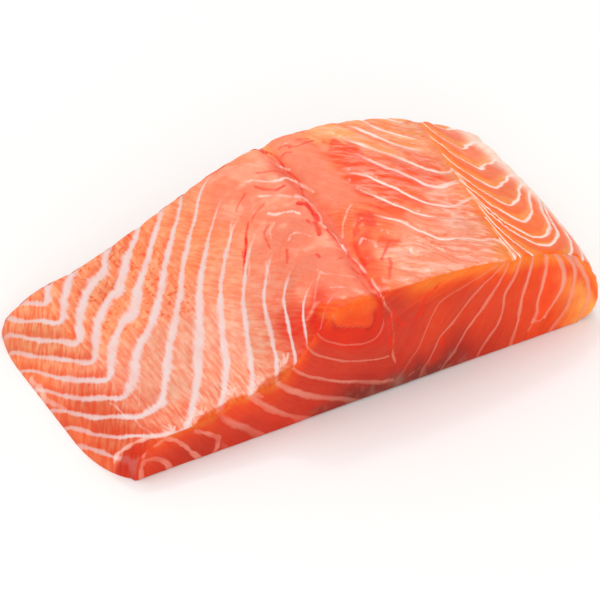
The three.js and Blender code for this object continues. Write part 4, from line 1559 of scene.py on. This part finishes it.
@dataclass
class FlakeRelief:
    """Swells the flesh between one seam and the next and roughens it with a fine grain."""

    swell: float = 0.55  # mm that the flesh stands above a seam
    mean: float = 0.76  # mean of the swell, which leaves the size as it is
    fullness: float = 0.5  # power of the swell's wave, which flattens its crest
    grain_height: float = 0.10
    grain_size: float = 1.3

    def tree(self) -> bpy.types.NodeTree:
        """Builds the tree.

        Returns:
            The tree, with its named inputs.
        """
        tree = bpy.data.node_groups.new("Flake relief", "GeometryNodeTree")
        face = tree.interface
        face.new_socket("Geometry", in_out="INPUT", socket_type="NodeSocketGeometry")
        for name in ("Swell", "Grain height", "Grain size"):
            face.new_socket(name, in_out="INPUT", socket_type="NodeSocketFloat")
        face.new_socket("Finish", in_out="INPUT", socket_type="NodeSocketMaterial")
        face.new_socket("Geometry", in_out="OUTPUT", socket_type="NodeSocketGeometry")
        add = partial(add_node, tree)
        given = add("NodeGroupInput", {})
        sheet, swell, relief = (add("GeometryNodeInputNamedAttribute", {"Name": name}, data_type="FLOAT")[0]
                                for name in ("sheet", "swell", "relief"))
        dip = sheet
        for operation, by in (("MULTIPLY", math.pi), ("SINE", 0.0), ("ABSOLUTE", 0.0),
                              ("POWER", self.fullness), ("SUBTRACT", self.mean), ("MULTIPLY", swell),
                              ("MULTIPLY", given["Swell"])):
            dip = add(MATH, {0: dip, 1: by}, operation=operation)[0]
        place = add("GeometryNodeInputPosition", {})[0]
        pitch = add(MATH, {0: 1.0, 1: given["Grain size"]}, operation="DIVIDE")[0]
        height = add(NOISE, {"Vector": place, "Scale": pitch, "Detail": 1.0})[0]
        for operation, by in (("SUBTRACT", 0.5), ("MULTIPLY", given["Grain height"]), ("MULTIPLY", swell),
                              ("ADD", dip), ("ADD", relief)):
            height = add(MATH, {0: height, 1: by}, operation=operation)[0]
        outward = add("GeometryNodeInputNormal", {})[0]
        offset = add(VECTOR, {0: outward, "Scale": height}, operation="SCALE")[0]
        moved = add("GeometryNodeSetPosition", {"Geometry": given["Geometry"], "Offset": offset})[0]
        real = add("GeometryNodeRealizeInstances", {"Geometry": moved})[0]
        dressed = add("GeometryNodeSetMaterial", {"Geometry": real, "Material": given["Finish"]})[0]
        add("NodeGroupOutput", {"Geometry": dressed})
        return tree


def bake(obj: bpy.types.Object, tree: bpy.types.NodeTree, inputs: dict[str, object],
         name: str) -> bpy.types.Object:
    """Runs a node tree on an object and keeps the result as a plain mesh.

    Args:
        obj: Object the tree works on; it is removed afterwards.
        tree: The Geometry Nodes tree.
        inputs: Values for the tree's named inputs.
        name: Name of the object made.

    Returns:
        The new object, at the origin.
    """
    modifier = obj.modifiers.new(tree.name, "NODES")
    modifier.node_group = tree
    sockets = {item.name: item.identifier for item in tree.interface.items_tree if item.in_out == "INPUT"}
    for key, value in inputs.items():
        modifier[sockets[key]] = value
    bpy.context.view_layer.update()
    seen = obj.evaluated_get(bpy.context.evaluated_depsgraph_get())
    mesh = bpy.data.meshes.new_from_object(seen)
    obj.modifiers.remove(modifier)
    bpy.data.objects.remove(obj)
    mesh.name = name
    made = bpy.data.objects.new(name, mesh)
    bpy.context.scene.collection.objects.link(made)
    return made


# ---- Sub-assemblies -----------------------------------------------------------------------

@dataclass
class Fillet:
    """The fillet's flesh: form, muscle sheets, relief and finish."""

    portion: Portion = field(default_factory=Portion)
    relief: FlakeRelief = field(default_factory=FlakeRelief)
    finish: RawSalmon = field(default_factory=RawSalmon)
    name: str = "fillet_flesh"
    sharp: float = 60.0  # degrees past which an edge isn't smoothed over

    def build(self) -> bpy.types.Object:
        """Makes the flesh in place of its solid.

        Returns:
            The finished object.
        """
        inputs = {"Swell": self.relief.swell * MM, "Grain height": self.relief.grain_height * MM,
                  "Grain size": self.relief.grain_size * MM, "Finish": self.finish.make()}
        flesh = bake(self._form(), self.relief.tree(), inputs, self.name)
        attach(flesh, BODY)
        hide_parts(NODE)
        log.info("%s: %d points, %d faces", self.name, len(flesh.data.vertices), len(flesh.data.polygons))
        return flesh

    def _form(self) -> bpy.types.Object:
        """Makes the skin where the solid is, with what every point is made of as attributes.

        Returns:
            The object, before its relief.
        """
        spots, faces = Skin(self.portion).build()
        low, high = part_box(NODE)
        middle = (low + high) / 2.0
        origin = (spots.min(axis=0) + spots.max(axis=0)) / 2.0
        placed = (spots - (*origin[:2], 0.0)) * MM + np.array([middle.x, middle.y, low.z])
        mesh = bpy.data.meshes.new(self.name)
        mesh.from_pydata(placed.tolist(), [], faces)
        mesh.validate()
        mesh.shade_smooth()
        mesh.set_sharp_from_angle(angle=math.radians(self.sharp))
        normals = np.empty(spots.size, np.float32)
        mesh.vertex_normals.foreach_get("vector", normals)
        tissue = Tissue(self.portion, MuscleSheets(self.portion), spots, normals.reshape(-1, 3))
        values, colours = tissue.paint()
        values["relief"] = values["relief"] * MM
        for name, numbers in values.items():
            mesh.attributes.new(name, "FLOAT", "POINT").data.foreach_set("value", numbers.astype(np.float32))
        rgba = np.column_stack([np.clip(colours, 0.0, 1.0), np.ones(len(colours))]).astype(np.float32)
        mesh.attributes.new("flesh", "FLOAT_COLOR", "POINT").data.foreach_set("color", rgba.ravel())
        form = bpy.data.objects.new(self.name + "_form", mesh)
        bpy.context.scene.collection.objects.link(form)
        return form


@dataclass(frozen=True)
class Softbox:
    """A square soft light: where it stands and looks in mm, its width and its power in watts."""

    name: str
    place: tuple[float, float, float]
    width: float
    power: float
    aim: tuple[float, float, float] = (0, 0, 10)

    def build(self) -> None:
        """Adds the light."""
        data = bpy.data.lights.new(self.name, "AREA")
        data.shape = "SQUARE"
        data.size = self.width * MM
        data.energy = self.power
        lamp = bpy.data.objects.new(self.name, data)
        lamp.location = Vector(self.place) * MM
        lamp.rotation_euler = (Vector(self.aim) - Vector(self.place)).to_track_quat("-Z", "Y").to_euler()
        bpy.context.scene.collection.objects.link(lamp)


@dataclass(frozen=True)
class Studio:
    """A plain pale floor, soft light and the camera."""

    floor_width: float = 4000.0  # mm
    sky: str = "#ffffff"
    sky_strength: float = 0.75
    aim: tuple[float, float, float] = (2.07, 9.7, 0.0)  # mm, where the camera looks
    distance: float = 750.0
    azimuth: float = -29.47  # degrees
    elevation: float = 36.94
    lens: float = 162.4  # mm
    sensor: float = 36.0
    lights: tuple[Softbox, ...] = (
        Softbox("overhead_softbox", place=(60, 260, 900), width=700, power=2.3),
        Softbox("front_softbox", place=(-420, -740, 400), width=600, power=2.75),
        Softbox("glint_lamp", place=(240, 430, 750), width=110, power=0.6),
    )

    def build(self) -> None:
        """Adds the floor, the lights, the sky and the camera."""
        half = self.floor_width * MM / 2.0
        mesh = bpy.data.meshes.new("floor")
        square = [(-half, -half, 0), (half, -half, 0), (half, half, 0), (-half, half, 0)]
        mesh.from_pydata(square, [], [(0, 1, 2, 3)])
        mesh.materials.append(MattBoard().make())
        floor = bpy.data.objects.new("floor", mesh)
        bpy.context.scene.collection.objects.link(floor)
        for light in self.lights:
            light.build()
        world = bpy.data.worlds.new("soft sky")
        world.use_nodes = True
        background = world.node_tree.nodes["Background"]
        background.inputs["Color"].default_value = opaque(self.sky)
        background.inputs["Strength"].default_value = self.sky_strength
        scene = bpy.context.scene
        scene.world = world
        scene.view_settings.view_transform = "Standard"
        self._camera()
        log.info("studio: floor, %d lights, camera", len(self.lights))

    def _camera(self) -> None:
        """Adds the camera at its distance, azimuth and elevation from the aim."""
        turn, rise = math.radians(self.azimuth), math.radians(self.elevation)
        back = Vector((math.sin(turn) * math.cos(rise), -math.cos(turn) * math.cos(rise), math.sin(rise)))
        data = bpy.data.cameras.new("camera")
        data.lens = self.lens
        data.sensor_width = self.sensor
        camera = bpy.data.objects.new("camera", data)
        camera.location = (Vector(self.aim) + back * self.distance) * MM
        camera.rotation_mode = "QUATERNION"
        camera.rotation_quaternion = (-back).to_track_quat("-Z", "Y")
        bpy.context.scene.collection.objects.link(camera)
        bpy.context.scene.camera = camera


def main() -> None:
    """Builds the fillet and the studio."""
    logging.basicConfig(level=logging.INFO)
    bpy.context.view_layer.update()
    Fillet().build()
    Studio().build()


if __name__ == "__main__":
    main()
